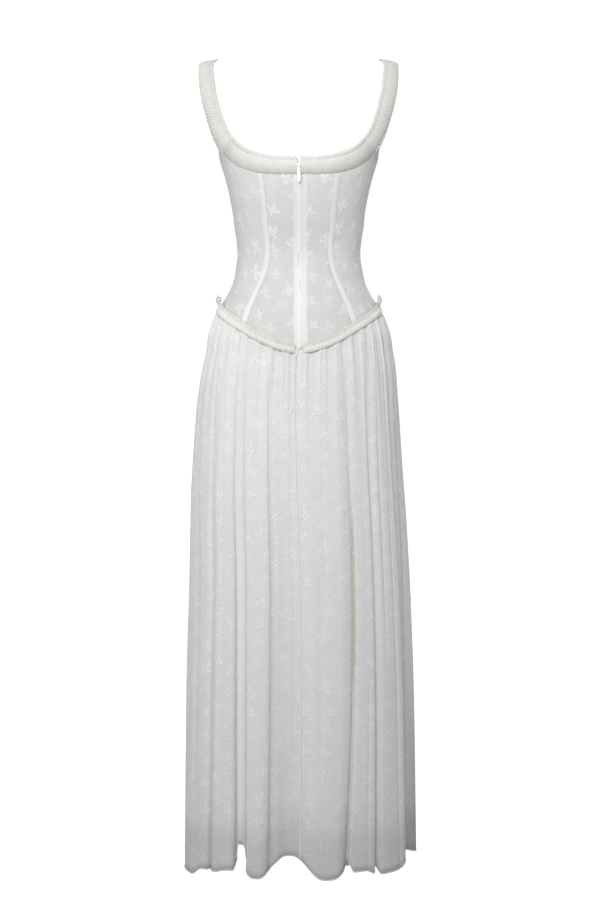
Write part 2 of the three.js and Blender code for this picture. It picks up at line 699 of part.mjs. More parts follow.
function addSlider() {
  const { halfWidth, top, bottom, inner, outer, earThickness } = SLIDER;
  let solid = solidOf(block([-halfWidth, outer, -bottom], [halfWidth, inner, -top]));
  for (const sign of [-1, 1]) {
    const ear = [sign * halfWidth, sign * (halfWidth - earThickness)].sort((a, b) => a - b);
    const low = [ear[0], PULL_AXIS.y - 1.4, -PULL_AXIS.drop - 1.6];
    const high = [ear[1], outer + 0.5, -PULL_AXIS.drop + 1.6];
    solid = solid.add(solidOf(block(low, high)));
  }
  const pin = new THREE.CylinderGeometry(PIN_RADIUS, PIN_RADIUS, 2 * halfWidth - earThickness, 12);
  pin.rotateZ(Math.PI / 2).translate(0, PULL_AXIS.y, -PULL_AXIS.drop);
  addGeometry('zip_slider', ENAMEL, geometryOf(solid.add(solidOf(pin))));
}

// The pull tab: a knuckle round the pin and a flat tab that widens to a rounded end.
function addPull() {
  const { eyeRadius, holeRadius, halfWidth, thickness, length, endHalfWidth } = PULL;
  const outline = new THREE.Shape();
  outline.moveTo(halfWidth, -eyeRadius / 2);
  outline.lineTo(-halfWidth, -eyeRadius / 2);
  outline.lineTo(-halfWidth, -length / 3);
  outline.lineTo(-endHalfWidth, -length / 2);
  outline.absarc(0, endHalfWidth - length, endHalfWidth, Math.PI, 2 * Math.PI, false);
  outline.lineTo(endHalfWidth, -length / 2);
  outline.lineTo(halfWidth, -length / 3);
  const tab = new THREE.ExtrudeGeometry(outline, { depth: thickness, bevelEnabled: false, curveSegments: 8 });
  tab.translate(0, 0, -thickness / 2).rotateX(Math.PI / 2);
  const knuckle = new THREE.CylinderGeometry(eyeRadius, eyeRadius, 2 * halfWidth, 16).rotateZ(Math.PI / 2);
  const hole = new THREE.CylinderGeometry(holeRadius, holeRadius, 3 * halfWidth, 16).rotateZ(Math.PI / 2);
  const solid = solidOf(tab).add(solidOf(knuckle)).subtract(solidOf(hole));
  const geometry = geometryOf(solid);
  geometry.translate(0, PULL_AXIS.y, -PULL_AXIS.drop);
  addGeometry('zip_pull', ENAMEL, geometry);
}

addSlider();
addPull();

export default dress;
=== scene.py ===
# %% [markdown]
# # A gathered white maxi dress, filled out as if it were worn
# The dress is seen from behind: a panelled bodice with bone casings, a gathered band round the
# neck, a pointed waist with a gathered trim, and a long skirt over a lining. Each cloth piece
# starts here as a flat grid, the way a cutter starts with flat cloth, and is then laid on the
# shape that the construction model gives.

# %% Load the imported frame
import math

import bmesh
import bpy
import numpy as np
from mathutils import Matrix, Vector


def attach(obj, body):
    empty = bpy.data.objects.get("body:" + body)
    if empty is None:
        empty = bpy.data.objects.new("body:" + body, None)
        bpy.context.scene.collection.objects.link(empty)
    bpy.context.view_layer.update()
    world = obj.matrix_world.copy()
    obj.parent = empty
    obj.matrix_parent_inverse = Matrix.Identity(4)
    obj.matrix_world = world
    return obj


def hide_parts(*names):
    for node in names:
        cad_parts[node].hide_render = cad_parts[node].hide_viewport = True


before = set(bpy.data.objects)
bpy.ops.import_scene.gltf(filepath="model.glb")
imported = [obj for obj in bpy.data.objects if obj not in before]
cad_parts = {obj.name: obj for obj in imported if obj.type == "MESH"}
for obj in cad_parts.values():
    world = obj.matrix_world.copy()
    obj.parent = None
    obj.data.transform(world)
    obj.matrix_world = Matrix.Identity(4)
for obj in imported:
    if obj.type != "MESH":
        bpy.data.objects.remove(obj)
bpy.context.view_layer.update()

MM = 0.001
BODY = "dress"

# %% [markdown]
# ## The form under the cloth
# A dressmaker drapes on a form. Here the form is a table of level sections, in millimetres below
# the shoulders, with half the width, the depth behind and in front of the side seams, and how
# square the oval is. Reading it with a smooth curve that never overshoots keeps the hollow of the
# back clean. A sculpted body would be another way, but a table is easy to check and to change.

# %% Tables of the form, in millimetres
FORM_COLUMNS = ("drop", "half", "back", "front", "round")
FORM = (
    (150, 171, 95, 97, 0.71),
    (172, 161, 97, 104, 0.76),
    (190, 146, 97, 110, 0.82),
    (206, 140.5, 96.5, 116, 0.86),
    (231, 133, 95, 124, 0.88),
    (258, 127, 91, 125, 0.88),
    (285, 122, 86, 117, 0.88),
    (310, 119, 81, 104, 0.88),
    (335, 115, 77, 94, 0.88),
    (361, 113, 75, 89, 0.88),
    (386, 116, 78, 88, 0.88),
    (412, 121, 86, 90, 0.88),
    (438, 133, 98, 95, 0.88),
    (460, 146, 108, 100, 0.88),
    (489, 159, 118, 106, 0.88),
    (515, 167, 124, 109, 0.88),
    (541, 171, 127, 111, 0.89),
    (568, 177, 130, 113, 0.9),
    (644, 186, 135, 121, 0.92),
    (700, 190, 139, 127, 0.93),
    (825, 198, 146, 137, 0.94),
    (980, 204, 153, 147, 0.95),
    (1185, 210, 160, 157, 0.95),
    (1455, 213, 166, 166, 0.95),
)
WAIST_COLUMNS = ("angle", "drop")
WAIST_SEAM = (
    (0, 535), (8, 530), (18, 519), (40, 491), (65, 470), (90, 461),
    (115, 471), (140, 493), (162, 523), (172, 536), (180, 541),
)
PRINCESS_COLUMNS = ("drop", "back", "front")
PRINCESS = (
    (200, 28, 31), (298, 28, 31), (355, 27, 27), (385, 28.5, 27.5),
    (430, 34, 30), (478, 36, 32), (540, 37, 33),
)
HEM_DROP = 1455
LINING_DROP = 1372

# %% Read a table smoothly
def reader(columns, rows, by, wanted):
    """A smooth function of one column by another, which keeps between neighbouring rows."""
    x = np.array([row[columns.index(by)] for row in rows], dtype=float)
    y = np.array([row[columns.index(wanted)] for row in rows], dtype=float)
    span = np.diff(x)
    slope = np.diff(y) / span
    before, after = slope[:-1], slope[1:]
    rising = before * after > 0
    lean = np.empty_like(y)
    lean[0], lean[-1] = slope[0], slope[-1]
    lean[1:-1] = np.where(rising, 2 * before * after / np.where(rising, before + after, 1), 0)

    def read(at):
        at = np.clip(at, x[0], x[-1])
        i = np.clip(np.searchsorted(x, at, side="right") - 1, 0, len(x) - 2)
        t = (at - x[i]) / span[i]
        start = (1 + 2 * t) * (1 - t) ** 2 * y[i] + t * (1 - t) ** 2 * lean[i] * span[i]
        return start + t * t * (3 - 2 * t) * y[i + 1] + t * t * (t - 1) * lean[i + 1] * span[i]

    return read


form_half = reader(FORM_COLUMNS, FORM, "drop", "half")
form_back = reader(FORM_COLUMNS, FORM, "drop", "back")
form_front = reader(FORM_COLUMNS, FORM, "drop", "front")
form_round = reader(FORM_COLUMNS, FORM, "drop", "round")
waist_of = reader(WAIST_COLUMNS, WAIST_SEAM, "angle", "drop")
princess_back = reader(PRINCESS_COLUMNS, PRINCESS, "drop", "back")
princess_front = reader(PRINCESS_COLUMNS, PRINCESS, "drop", "front")


# %% Points of the form
def form_point(angle, drop):
    """Points on the form, from an angle round it (0 is the centre back) and a drop."""
    across = np.sin(np.radians(angle))
    along = np.cos(np.radians(angle))
    depth = np.where(along > 0, form_back(drop), form_front(drop))
    power = form_round(drop)
    x = form_half(drop) * np.sign(across) * np.abs(across) ** power
    y = -depth * np.sign(along) * np.abs(along) ** power
    return np.stack([x, y, -np.broadcast_to(drop, x.shape)], axis=-1)


def angle_across(x, drop):
    """The angle at which the form is x from its centre plane."""
    share = np.clip(x / form_half(drop), 0, 1)
    return np.degrees(np.arcsin(share ** (1 / form_round(drop))))


def folded_angle(angle):
    turned = np.mod(angle, 360)
    return np.where(turned > 180, 360 - turned, turned)


def waist_drop(angle):
    return waist_of(folded_angle(angle))


def outward(surface, angle, drop):
    """The direction square to a surface that is a function of angle and drop."""
    round_way = surface(angle + 0.2, drop) - surface(angle - 0.2, drop)
    down_way = surface(angle, drop + 0.5) - surface(angle, drop - 0.5)
    square = np.cross(down_way, round_way)
    return square / np.linalg.norm(square, axis=-1, keepdims=True)


def mix(a, b, t):
    return a + (b - a) * t


print("waist width:", round(float(2 * form_half(361))), "mm; hem width:", round(float(2 * form_half(HEM_DROP))), "mm")

# %% [markdown]
# ## Flat cloth, laid in place
# Every sheet starts as a flat grid from one mesh operator. Its corners are then moved on to the
# garment, its UV map keeps the distances along the cloth in metres, so that the woven pattern has
# one scale everywhere, and a Solidify modifier gives it the thickness of real cloth.

# %% Lay a grid of cloth
COTTON_THICKNESS = 0.35
made = []


def cloth_lengths(points, share_fixed):
    """Distances along the cloth in metres. share_fixed is how far the widthwise ones follow the hem."""
    steps = np.linalg.norm(np.diff(points, axis=1), axis=2)
    along = np.concatenate([np.zeros((points.shape[0], 1)), np.cumsum(steps, axis=1)], axis=1)
    along = mix(along, along[-1:], share_fixed)
    falls = np.linalg.norm(np.diff(points, axis=0), axis=2).mean(axis=1)
    down = np.concatenate([[0], np.cumsum(falls)])[:, None] * np.ones_like(along)
    return along * MM, down * MM


def lay_grid(name, columns, rows, place, share_fixed=0.0, marks=None):
    """Makes a flat grid and moves its corners to place(u, v), in millimetres. Each mark is a function
    of u, v and the points that gives a share from 0 to 1, kept as an attribute for the material."""
    flat = bmesh.new()
    bmesh.ops.create_grid(flat, x_segments=columns, y_segments=rows, size=0.5)
    mesh = bpy.data.meshes.new(name)
    flat.to_mesh(mesh)
    flat.free()
    corner = np.empty(len(mesh.vertices) * 3)
    mesh.vertices.foreach_get("co", corner)
    corner = corner.reshape(-1, 3)
    column = np.rint((corner[:, 0] + 0.5) * columns).astype(int)
    row = np.rint((0.5 - corner[:, 1]) * rows).astype(int)
    v, u = np.meshgrid(np.linspace(0, 1, rows + 1), np.linspace(0, 1, columns + 1), indexing="ij")
    points = place(u, v)
    along, down = cloth_lengths(points, share_fixed)
    mesh.vertices.foreach_set("co", (points[row, column] * MM).ravel())
    corners = np.empty(len(mesh.loops), dtype=int)
    mesh.loops.foreach_get("vertex_index", corners)
    uv = np.stack([along[row, column], -down[row, column]], axis=1)[corners]
    mesh.uv_layers.new(name="cloth").data.foreach_set("uv", uv.ravel())
    for mark, share in (marks or {}).items():
        values = share(u, v, points)[row, column]
        mesh.attributes.new(mark, "FLOAT", "POINT").data.foreach_set("value", values)
    mesh.update()
    return mesh, points


def add_piece(name, mesh, material, nodes=(), body=BODY):
    """Puts a mesh in the scene, smooth, riding on its body and standing for its nodes."""
    mesh.polygons.foreach_set("use_smooth", [True] * len(mesh.polygons))
    piece = bpy.data.objects.new(name, mesh)
    bpy.context.scene.collection.objects.link(piece)
    mesh.materials.append(material)
    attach(piece, body)
    if nodes:
        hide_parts(*nodes)
    made.append(name)
    return piece


def thicken(piece, thickness):
    solid = piece.modifiers.new("cloth thickness", "SOLIDIFY")
    solid.thickness = thickness * MM
    solid.offset = -1
    solid.use_rim = True
    return piece


def grid_area(points):
    """The area of a laid grid, in square metres."""
    a, b = points[:-1, :-1], points[:-1, 1:]
    c, d = points[1:, :-1], points[1:, 1:]
    first = np.linalg.norm(np.cross(b - a, c - a), axis=2)
    second = np.linalg.norm(np.cross(b - d, c - d), axis=2)
    return float((first + second).sum() / 2) * MM * MM


# A ragged edge, as on a frill, counts at its usual depth, not at its longest point.
LEAST_SHARE = 0.5


def declare_sheet(piece, points, with_pieces=(), turned_under=0.0):
    """Says what flat piece of cloth this sheet was cut from: its width, length and area."""
    width = float(np.linalg.norm(np.diff(points, axis=1), axis=2).sum(axis=1).max()) * MM
    area = grid_area(points) * (width + turned_under * MM) / width
    width += turned_under * MM
    length = float(np.linalg.norm(np.diff(points, axis=0), axis=2).sum(axis=0).max()) * MM
    length = min(length, area / width / LEAST_SHARE)
    min(area, width * length)
    print(piece.name, "cut", round(width, 3), "by", round(length, 3), "m, area", round(area, 4))


# %% [markdown]
# ## Writing shader maths
# A woven pattern is arithmetic on the cloth's own coordinates. Blender's way is a Math node for
# every plus and times, which is hard to read. Here a small class wraps a socket, so that an
# expression in Python adds those nodes, and one method adds any other node.

# %% A socket that can be reckoned with
class Wire:
    """An output socket in a material. Arithmetic on it adds Math nodes."""

    def __init__(self, finish, socket):
        self.finish = finish
        self.socket = socket

    def maths(self, operation, *values):
        inputs = dict(enumerate(values))
        return self.finish.add("ShaderNodeMath", {"operation": operation}, inputs)

    def __add__(self, other):
        return self.maths("ADD", self, other)

    def __sub__(self, other):
        return self.maths("SUBTRACT", self, other)

    def __rsub__(self, other):
        return self.maths("SUBTRACT", other, self)

    def __mul__(self, other):
        return self.maths("MULTIPLY", self, other)

    def __truediv__(self, other):
        return self.maths("DIVIDE", self, other)

    __radd__ = __add__
    __rmul__ = __mul__

    def floor(self):
        return self.maths("FLOOR", self)

    def size(self):
        return self.maths("ABSOLUTE", self)

    def sine(self):
        return self.maths("SINE", self)

    def cosine(self):
        return self.maths("COSINE", self)

    def root(self):
        return self.maths("SQRT", self)

    def turned_to(self, other):
        return self.maths("ARCTAN2", self, other)

    def larger(self, other):
        return self.maths("MAXIMUM", self, other)

    def smaller(self, other):
        return self.maths("MINIMUM", self, other)

    def above(self, other):
        return self.maths("GREATER_THAN", self, other)

    def ramp(self, low, high, to_low=0.0, to_high=1.0):
        """Goes smoothly from to_low at low, to to_high at high."""
        values = {"Value": self, "From Min": low, "From Max": high, "To Min": to_low, "To Max": to_high}
        return self.finish.add("ShaderNodeMapRange", {"interpolation_type": "SMOOTHSTEP"}, values)


class Finish:
    """A material whose nodes are added one by one, ending in a Principled shader."""

    def __init__(self, name):
        self.material = bpy.data.materials.new(name)
        self.material.use_nodes = True
        self.tree = self.material.node_tree
        self.tree.nodes.clear()
        self.shader = self.tree.nodes.new("ShaderNodeBsdfPrincipled")
        output = self.tree.nodes.new("ShaderNodeOutputMaterial")
        self.tree.links.new(self.shader.outputs["BSDF"], output.inputs["Surface"])

    def give(self, sockets, values):
        for key, value in values.items():
            if isinstance(value, Wire):
                self.tree.links.new(value.socket, sockets[key])
            else:
                sockets[key].default_value = value

    def add(self, kind, settings=None, values=None, result=0):
        node = self.tree.nodes.new(kind)
        for key, value in (settings or {}).items():
            setattr(node, key, value)
        self.give(node.inputs, values or {})
        return Wire(self, node.outputs[result])

    def set(self, **values):
        self.give(self.shader.inputs, {key.replace("_", " "): value for key, value in values.items()})
        return self

    def colour_between(self, first, second, share):
        """A Mix node for colours; each one is a value or a wire."""
        values = {0: share, 6: first, 7: second}
        return self.add("ShaderNodeMix", {"data_type": "RGBA"}, values, result=2)

    def noise(self, vector, scale, detail=2.0, result=0):
        values = {"Vector": vector, "Scale": scale, "Detail": detail}
        return self.add("ShaderNodeTexNoise", {"noise_dimensions": "3D"}, values, result)

    def bump(self, height, distance, strength=1.0):
        values = {"Height": height, "Distance": distance, "Strength": strength}
        return self.add("ShaderNodeBump", {}, values)


def cloth_coordinates(finish):
    """The distances along and down the cloth, in millimetres, as two wires and a vector."""
    uv = finish.add("ShaderNodeUVMap", {"uv_map": "cloth"})
    scaled = finish.add("ShaderNodeVectorMath", {"operation": "SCALE"}, {0: uv, "Scale": 1000.0})
    along = finish.add("ShaderNodeSeparateXYZ", {}, {0: scaled}, result=0)
    down = finish.add("ShaderNodeSeparateXYZ", {}, {0: scaled}, result=1)
    return along, down, scaled


# %% [markdown]
# ## The figured cotton
# The cloth is a thin cotton voile with small blossoms woven into it, set in half drops like
# bricks in a wall. Between them lie short floats, where a thick thread rides on the surface. The
# ground is sheer enough to show what lies behind, and the blossoms aren't. Weaving it in geometry
# would take millions of threads, so the pattern is reckoned from the cloth's coordinates instead.

# %% A blossom in every cell of a half-drop repeat
REPEAT_ACROSS = 37.0
REPEAT_DOWN = 41.0
BLOSSOM_RADIUS = 11.5


def lattice(finish, along, down, across_size, down_size):
    """The place inside a half-drop cell, in millimetres from its middle, and three random values."""
    column = (along / across_size).floor()
    half_drop = (column * 0.5 - (column * 0.5).floor())
    x = (along / across_size - column - 0.5) * across_size
    shifted = down / down_size + half_drop
    row = shifted.floor()
    y = (shifted - row - 0.5) * down_size
    cell = finish.add("ShaderNodeCombineXYZ", {}, {0: column, 1: row, 2: 3.5})
    chance = finish.add("ShaderNodeTexWhiteNoise", {"noise_dimensions": "3D"}, {"Vector": cell}, result=1)
    parts = [finish.add("ShaderNodeSeparateXYZ", {}, {0: chance}, result=i) for i in range(3)]
    return x, y, parts


def blossoms(finish, along, down, rough):
    """A mask of woven sprigs: one upright petal, two spread leaves and a stem, each one tilted."""
    x, y, (one, two, three) = lattice(finish, along, down, REPEAT_ACROSS, REPEAT_DOWN)
    x = x + (one - 0.5) * 13.0
    y = y + (two - 0.5) * 16.0
    radius = (x * x + y * y).root()
    tilt = (three - 0.5) * 3.4
    size = one * 0.5 + 1.05
    turned = (x * tilt.cosine() + y * tilt.sine()) / size
    up = (y * tilt.cosine() - x * tilt.sine()) / size + (rough - 0.5) * 3.0
    aside = turned.size()
    petal = ((turned / 3.0) * (turned / 3.0) + ((up - 4.4) / 4.6) * ((up - 4.4) / 4.6)).root()
    leaf_up = (up + 1.2 - aside * 0.42) / 2.3
    leaf = (((aside - 5.2) / 4.8) * ((aside - 5.2) / 4.8) + leaf_up * leaf_up).root()
    stem = (aside / 1.3).larger((up + 4.5).size() / 4.5)
    edge = petal.smaller(leaf).smaller(stem) + (rough - 0.5) * 2.4
    flower = edge.ramp(1.45, 0.45)
    return flower * (two * 0.7 + 0.3), radius, three


def floats(finish, along, down, across_size, down_size, length, share):
    """A mask of short level threads that ride on the cloth."""
    x, y, (one, two, three) = lattice(finish, along, down, across_size, down_size)
    x = x + (one - 0.5) * across_size * 0.3
    bar = (x.size() - length * 0.5).ramp(1.0, -0.6) * (y.size() - 0.5).ramp(0.45, -0.25)
    return bar * three.above(1 - share)


# %% The cotton itself
# Painted shade and painted shadow: a dark bluish grey for the skirt below the lining's hem and on its far side, and a
# brown for a line down one deep fold.
UNLINED_PAINTED_SHADE = (0.42, 0.42, 0.465, 1)
FOLD_PAINTED_SHADOW = (0.62, 0.52, 0.36, 1)


def figured_cotton(name, ground, figure, double, ground_cover, figure_cover, streaks, specks):
    """Sheer cotton with woven sprigs. The covers say how much the ground and a sprig hide, and
    double is the colour where the cloth lies double."""
    finish = Finish(name)
    along, down, cloth = cloth_coordinates(finish)
    rough = finish.noise(cloth, 0.22, 2.0)
    flower, radius, chance = blossoms(finish, along, down, rough)
    stretched = finish.add("ShaderNodeVectorMath", {"operation": "MULTIPLY"}, {0: cloth, 1: (0.16, 0.95, 1.0)})
    streak = finish.noise(stretched, 1.0, 2.0).ramp(0.42, 0.6)
    flower = flower * (streak * streaks + (1 - streaks))
    dashes = floats(finish, along, down, 14.0, 6.4, 5.5, 0.16)
    near = floats(finish, along, down, 9.0, 4.2, 5.5, 0.5) * (radius - 17.0).ramp(4.0, -4.0)
    figured = flower.larger(dashes * 0.5).larger(near * 0.8 * (chance * 0.6 + 0.4))
    cloud = finish.noise(cloth, 0.012, 3.0)
    weave = (along * 7.3).sine() * 0.5 + (down * 6.1).sine() * 0.5
    threads = finish.add("ShaderNodeVectorMath", {"operation": "MULTIPLY"}, {0: cloth, 1: (0.05, 1.1, 1.0)})
    slub = finish.noise(threads, 1.0, 2.0)
    cover = ground_cover + (cloud - 0.5) * 0.12 + (slub - 0.5) * 0.12 + weave * 0.02
    cover = cover * (1 - figured) + figured * figure_cover
    if specks:
        x, y, (one, two, three) = lattice(finish, along, down, 7.0, 5.0)
        x = x + (one - 0.5) * 3.0
        hole = ((x * x * 0.5 + y * y).root() - 0.75).ramp(0.4, -0.3)
        pierced = hole * two.above(0.78) * (radius - 11.0).ramp(2.0, -2.0) * chance.above(0.4)
        cover = cover * (1 - pierced * specks)
        figured = figured * (1 - pierced * 0.9)
    colour = finish.colour_between(tuple(ground) + (1,), tuple(figure) + (1,), figured)
    twice = finish.add("ShaderNodeAttribute", {"attribute_name": "doubled"}, {}, result="Fac")
    colour = finish.colour_between(colour, tuple(double) + (1,), twice * 0.85)
    cover = cover * (1 - twice) + twice * 0.97
    # Painted shade: the colour darkens below the lining's hem and on the far side.
    unlined_shade_share = finish.add("ShaderNodeAttribute", {"attribute_name": "unlined_painted_shade"}, {}, result="Fac")
    colour = finish.colour_between(colour, UNLINED_PAINTED_SHADE, unlined_shade_share * 0.31)
    # Painted shadow: a thin brown line down one deep fold.
    inside = finish.add("ShaderNodeAttribute", {"attribute_name": "fold_painted_shadow"}, {}, result="Fac")
    colour = finish.colour_between(colour, FOLD_PAINTED_SHADOW, inside * 0.75)
    height = figured * 0.22 + weave * 0.03 + slub * 0.1 + rough * 0.06
    # The cloth has two faces, and the light passes both of them.
    each_face = 1 - (1 - cover).larger(0.0).root()
    finish.set(Base_Color=colour, Roughness=0.82, Alpha=each_face, Sheen_Weight=0.25,
               Sheen_Roughness=0.5, Specular_IOR_Level=0.25, Normal=finish.bump(height, MM))
    return finish.material


BODICE_COTTON = figured_cotton("bodice cotton", (0.725, 0.72, 0.71), (0.84, 0.84, 0.835), (0.77, 0.77, 0.77),
                               0.80, 0.95, 0.45, 0.0)
SKIRT_COTTON = figured_cotton("skirt cotton", (0.83, 0.83, 0.83), (0.868, 0.868, 0.873), (0.81, 0.80, 0.765),
                              0.80, 0.94, 0.75, 0.45)


# %% [markdown]
# ## Gathered trim, lining, tape and enamel
# The bands and the trim are a plainer, creamier cotton. The lining is a smooth white satin-like
# cloth that nothing shows through. The zip tape is a bright herringbone, and the zip's metal is
# sprayed with white enamel to match.

# %% The other finishes
def plain_cloth(name, colour, roughness, sheen, thread, depth, mottle=0.05, strap_painted_shade=0.0):
    """A plain weave. strap_painted_shade is how much painted shade darkens it high up, on the straps, which stand
    nearer the lamps and catch more light.
    """
    finish = Finish(name)
    along, down, cloth = cloth_coordinates(finish)
    weave = (along * thread).sine() * 0.5 + (down * thread).sine() * 0.5
    cloud = finish.noise(cloth, 0.05, 3.0)
    slub = finish.noise(cloth, 0.9, 2.0)
    dark = tuple(c * (1 - mottle) for c in colour) + (1,)
    shade = finish.colour_between(dark, tuple(colour) + (1,), cloud.ramp(0.25, 0.75))
    # Painted shade: above a height, the colour turns darker on the straps.
    if strap_painted_shade:
        place = finish.add("ShaderNodeTexCoord", {}, {}, result="Object")
        high = finish.add("ShaderNodeSeparateXYZ", {}, {0: place}, result=2).ramp(-0.19, -0.11)
        shade = finish.colour_between(shade, tuple(c * (1 - strap_painted_shade) for c in colour) + (1,), high)
    height = weave * 0.05 + slub * 0.12
    finish.set(Base_Color=shade, Roughness=roughness, Sheen_Weight=sheen, Sheen_Roughness=0.5,
               Specular_IOR_Level=0.3, Normal=finish.bump(height, depth * MM))
    return finish.material


def enamel(name, colour):
    finish = Finish(name)
    place = finish.add("ShaderNodeTexCoord", {}, {}, result="Object")
    grain = finish.noise(place, 900.0, 2.0)
    worn = finish.noise(place, 220.0, 3.0)
    shade = finish.colour_between(tuple(c * 0.82 for c in colour) + (1,), tuple(colour) + (1,), worn.ramp(0.3, 0.6))
    finish.set(Base_Color=shade, Roughness=worn.ramp(0.3, 0.7, 0.28, 0.42), Metallic=0.0, Coat_Weight=0.4,
               Normal=finish.bump(grain, 0.05 * MM))
    return finish.material


# The band and its inner roll carry painted shade on the straps.
BAND_CLOTH = plain_cloth("neck band cotton", (0.66, 0.652, 0.622), 0.85, 0.3, 6.5, 0.8, 0.05, 0.13)
BAND_ROLL = plain_cloth("inner roll cotton", (0.655, 0.64, 0.60), 0.85, 0.25, 6.5, 0.8, 0.05, 0.10)
TRIM_CLOTH = plain_cloth("waist trim cotton", (0.675, 0.665, 0.625), 0.85, 0.3, 6.5, 0.8)
LINING_CLOTH = plain_cloth("lining cloth", (0.86, 0.86, 0.86), 0.6, 0.2, 9.0, 0.3, 0.02)
TAPE_CLOTH = plain_cloth("zip tape", (0.94, 0.94, 0.94), 0.7, 0.2, 4.0, 0.6, 0.01)
CASING_CLOTH = plain_cloth("casing cloth", (0.66, 0.66, 0.66), 0.8, 0.3, 8.0, 0.4, 0.01)
FRILL_CLOTH = plain_cloth("frill cotton", (0.61, 0.605, 0.57), 0.85, 0.3, 6.5, 0.8)
WELT_CLOTH = plain_cloth("folded edge cotton", (0.77, 0.77, 0.765), 0.8, 0.3, 8.0, 0.3, 0.01)
SEAM_CLOTH = plain_cloth("back seam cotton", (0.70, 0.70, 0.70), 0.8, 0.3, 8.0, 0.3, 0.01)
THREAD = plain_cloth("sewing thread", (0.80, 0.80, 0.79), 0.6, 0.3, 12.0, 0.2, 0.01)
ENAMEL = enamel("white enamel", (0.82, 0.82, 0.80))


# %% [markdown]
# ## The skirt's folds
# A gathered skirt hangs in tubes between narrow troughs. The troughs that show in the photo are
# listed one by one, by their angle at the hem and at the waist, their depth and their width, and the
# far side has others like them. Smaller ones start or end part of the way down. A cloth
# simulation would make its own folds, not these, so they are shaped directly.

# %% The creases between the tubes
# The angles at the hem, part of the way down and at the waist, the depth at the hem in
# millimetres, the shares of the fall at which a crease begins and ends, and which of the tubes
# beside it laps over: the one before it, the one after it, both, or neither where it is soft.
CREASE_COLUMNS = ("hem", "middle", "top", "depth", "begin", "end", "over")
CREASES = (
    (-81, -81, -81, 12, 0.0, 2.0, "after"),
    (-66, -66, -68, 6, 0.0, 0.5, "soft"),
    (-51, -49.5, -54, 13, 0.0, 2.0, "before"),
    (-40, -40, -45, 5, 0.0, 0.35, "soft"),
    (-32.4, -32.8, -36.5, 15, 0.0, 2.0, "both"),
    (-26.4, -26.6, -29.5, 15, 0.0, 2.0, "both"),
    (-15.2, -13.8, -15, 17, 0.0, 2.0, "before"),
    (-6, -5.5, -7.5, 4, 0.0, 0.35, "soft"),
    (11, 12, 11, 5, 0.0, 0.45, "soft"),
    (21.8, 27.2, 26, 17, 0.0, 2.0, "after"),
    (38.2, 39.8, 39.6, 19, 0.0, 2.0, "before"),
    (47, 47.5, 50, 7, 0.0, 0.5, "soft"),
    (65, 63.5, 61.5, 34, 0.0, 2.0, "before"),
    (78, 78, 78, 10, 0.0, 2.0, "both"),
    (101, 100, 100, 18, 0.0, 2.0, "before"),
    (111, 110, 110, 6, 0.0, 0.4, "soft"),
    (121, 120.5, 119, 22, 0.0, 2.0, "after"),
    (131.5, 131, 129.5, 7, 0.1, 2.0, "soft"),
    (142, 141, 140, 18, 0.0, 2.0, "before"),
    (152, 151, 150.5, 7, 0.0, 0.6, "soft"),
    (164, 163, 162, 22, 0.0, 2.0, "both"),
    (176, 175, 175, 16, 0.0, 2.0, "after"),
    (187, 188, 187, 7, 0.0, 0.5, "soft"),
    (197, 198.5, 199, 22, 0.0, 2.0, "before"),
    (212, 213, 214, 12, 0.1, 2.0, "soft"),
    (224, 225, 227, 20, 0.0, 2.0, "after"),
    (234, 236, 237, 6, 0.0, 0.45, "soft"),
    (244, 245, 247, 22, 0.0, 2.0, "before"),
    (256, 257, 258, 12, 0.0, 2.0, "both"),
)
# Wide hollows: hem angle, depth, spread, how square, and the rise of the hem there. A negative
# depth is a swell, and a negative rise lets the hem down.
HOLLOWS = (
    (-29.4, 6, 2.9, 6, 46),
    (-5, 24, 8.2, 2.6, 26),
    (-72, -2, 12, 4, -24),
    (-52, 0, 12, 4, -8),
    (-20, 0, 5, 4, -10),
    (12, 0, 7, 3, -11),
    (22.5, 0, 1.5, 2, 13),
    (39.2, 0, 1.3, 2, 12),
    (48, 0, 13, 6, -11),
    (74, 20, 8, 4, 6),
    (109, 22, 7, 2.4, 3),
    (170, 34, 7, 2.4, 6),
    (205, 30, 7, 2.4, 4),
    (250, 18, 7, 2.4, -4),
)
MEAN_DEPTH = 150
# Below the waist the skirt swings a little to the left.
SWAY = ((541, 0), (644, -4), (760, -4.5), (870, -2.5), (1000, -0.5), (1455, 0))
sway = reader(("drop", "shift"), SWAY, "drop", "shift")
WALL_WIDTH = 4.5
STEEPEST = 7.0
GENTLE = 1.3
SOFT = 1.9
SMALL_FOLDS = 50
dice = np.random.default_rng(11)
small_folds = np.stack([
    (np.arange(SMALL_FOLDS) + dice.uniform(-0.35, 0.35, SMALL_FOLDS)) * 360 / SMALL_FOLDS - 90,
    dice.uniform(0.5, 2.1, SMALL_FOLDS),
    dice.uniform(1.2, 2.4, SMALL_FOLDS),
    dice.uniform(-0.1, 0.6, SMALL_FOLDS),
    dice.uniform(0.2, 0.7, SMALL_FOLDS),
], axis=1)

# %% How deep the cloth is pressed in
ends = ((-90, -90, -90), (90, 90, 90), (270, 270, 270))
anchors = sorted([row[:3] for row in CREASES] + [(h, m, t) for h, m, t in ends])
top_of = reader(("hem", "middle", "top"), anchors, "hem", "top")
middle_of = reader(("hem", "middle", "top"), anchors, "hem", "middle")
MIDDLE_DOWN = 0.58


def eased(value, low, high):
    t = np.clip((value - low) / (high - low), 0, 1)
    return t * t * (3 - 2 * t)


def turned_apart(angle, other):
    """The signed difference of two angles, from -180 to 180."""
    return (angle - other + 180) % 360 - 180


def wrapped(angle):
    """The same angle, from -90 up to 270."""
    return (angle + 90) % 360 - 90


def down_skirt(angle, drop):
    top = waist_drop(angle)
    return np.clip((drop - top) / (HEM_DROP - top), 0, 1)


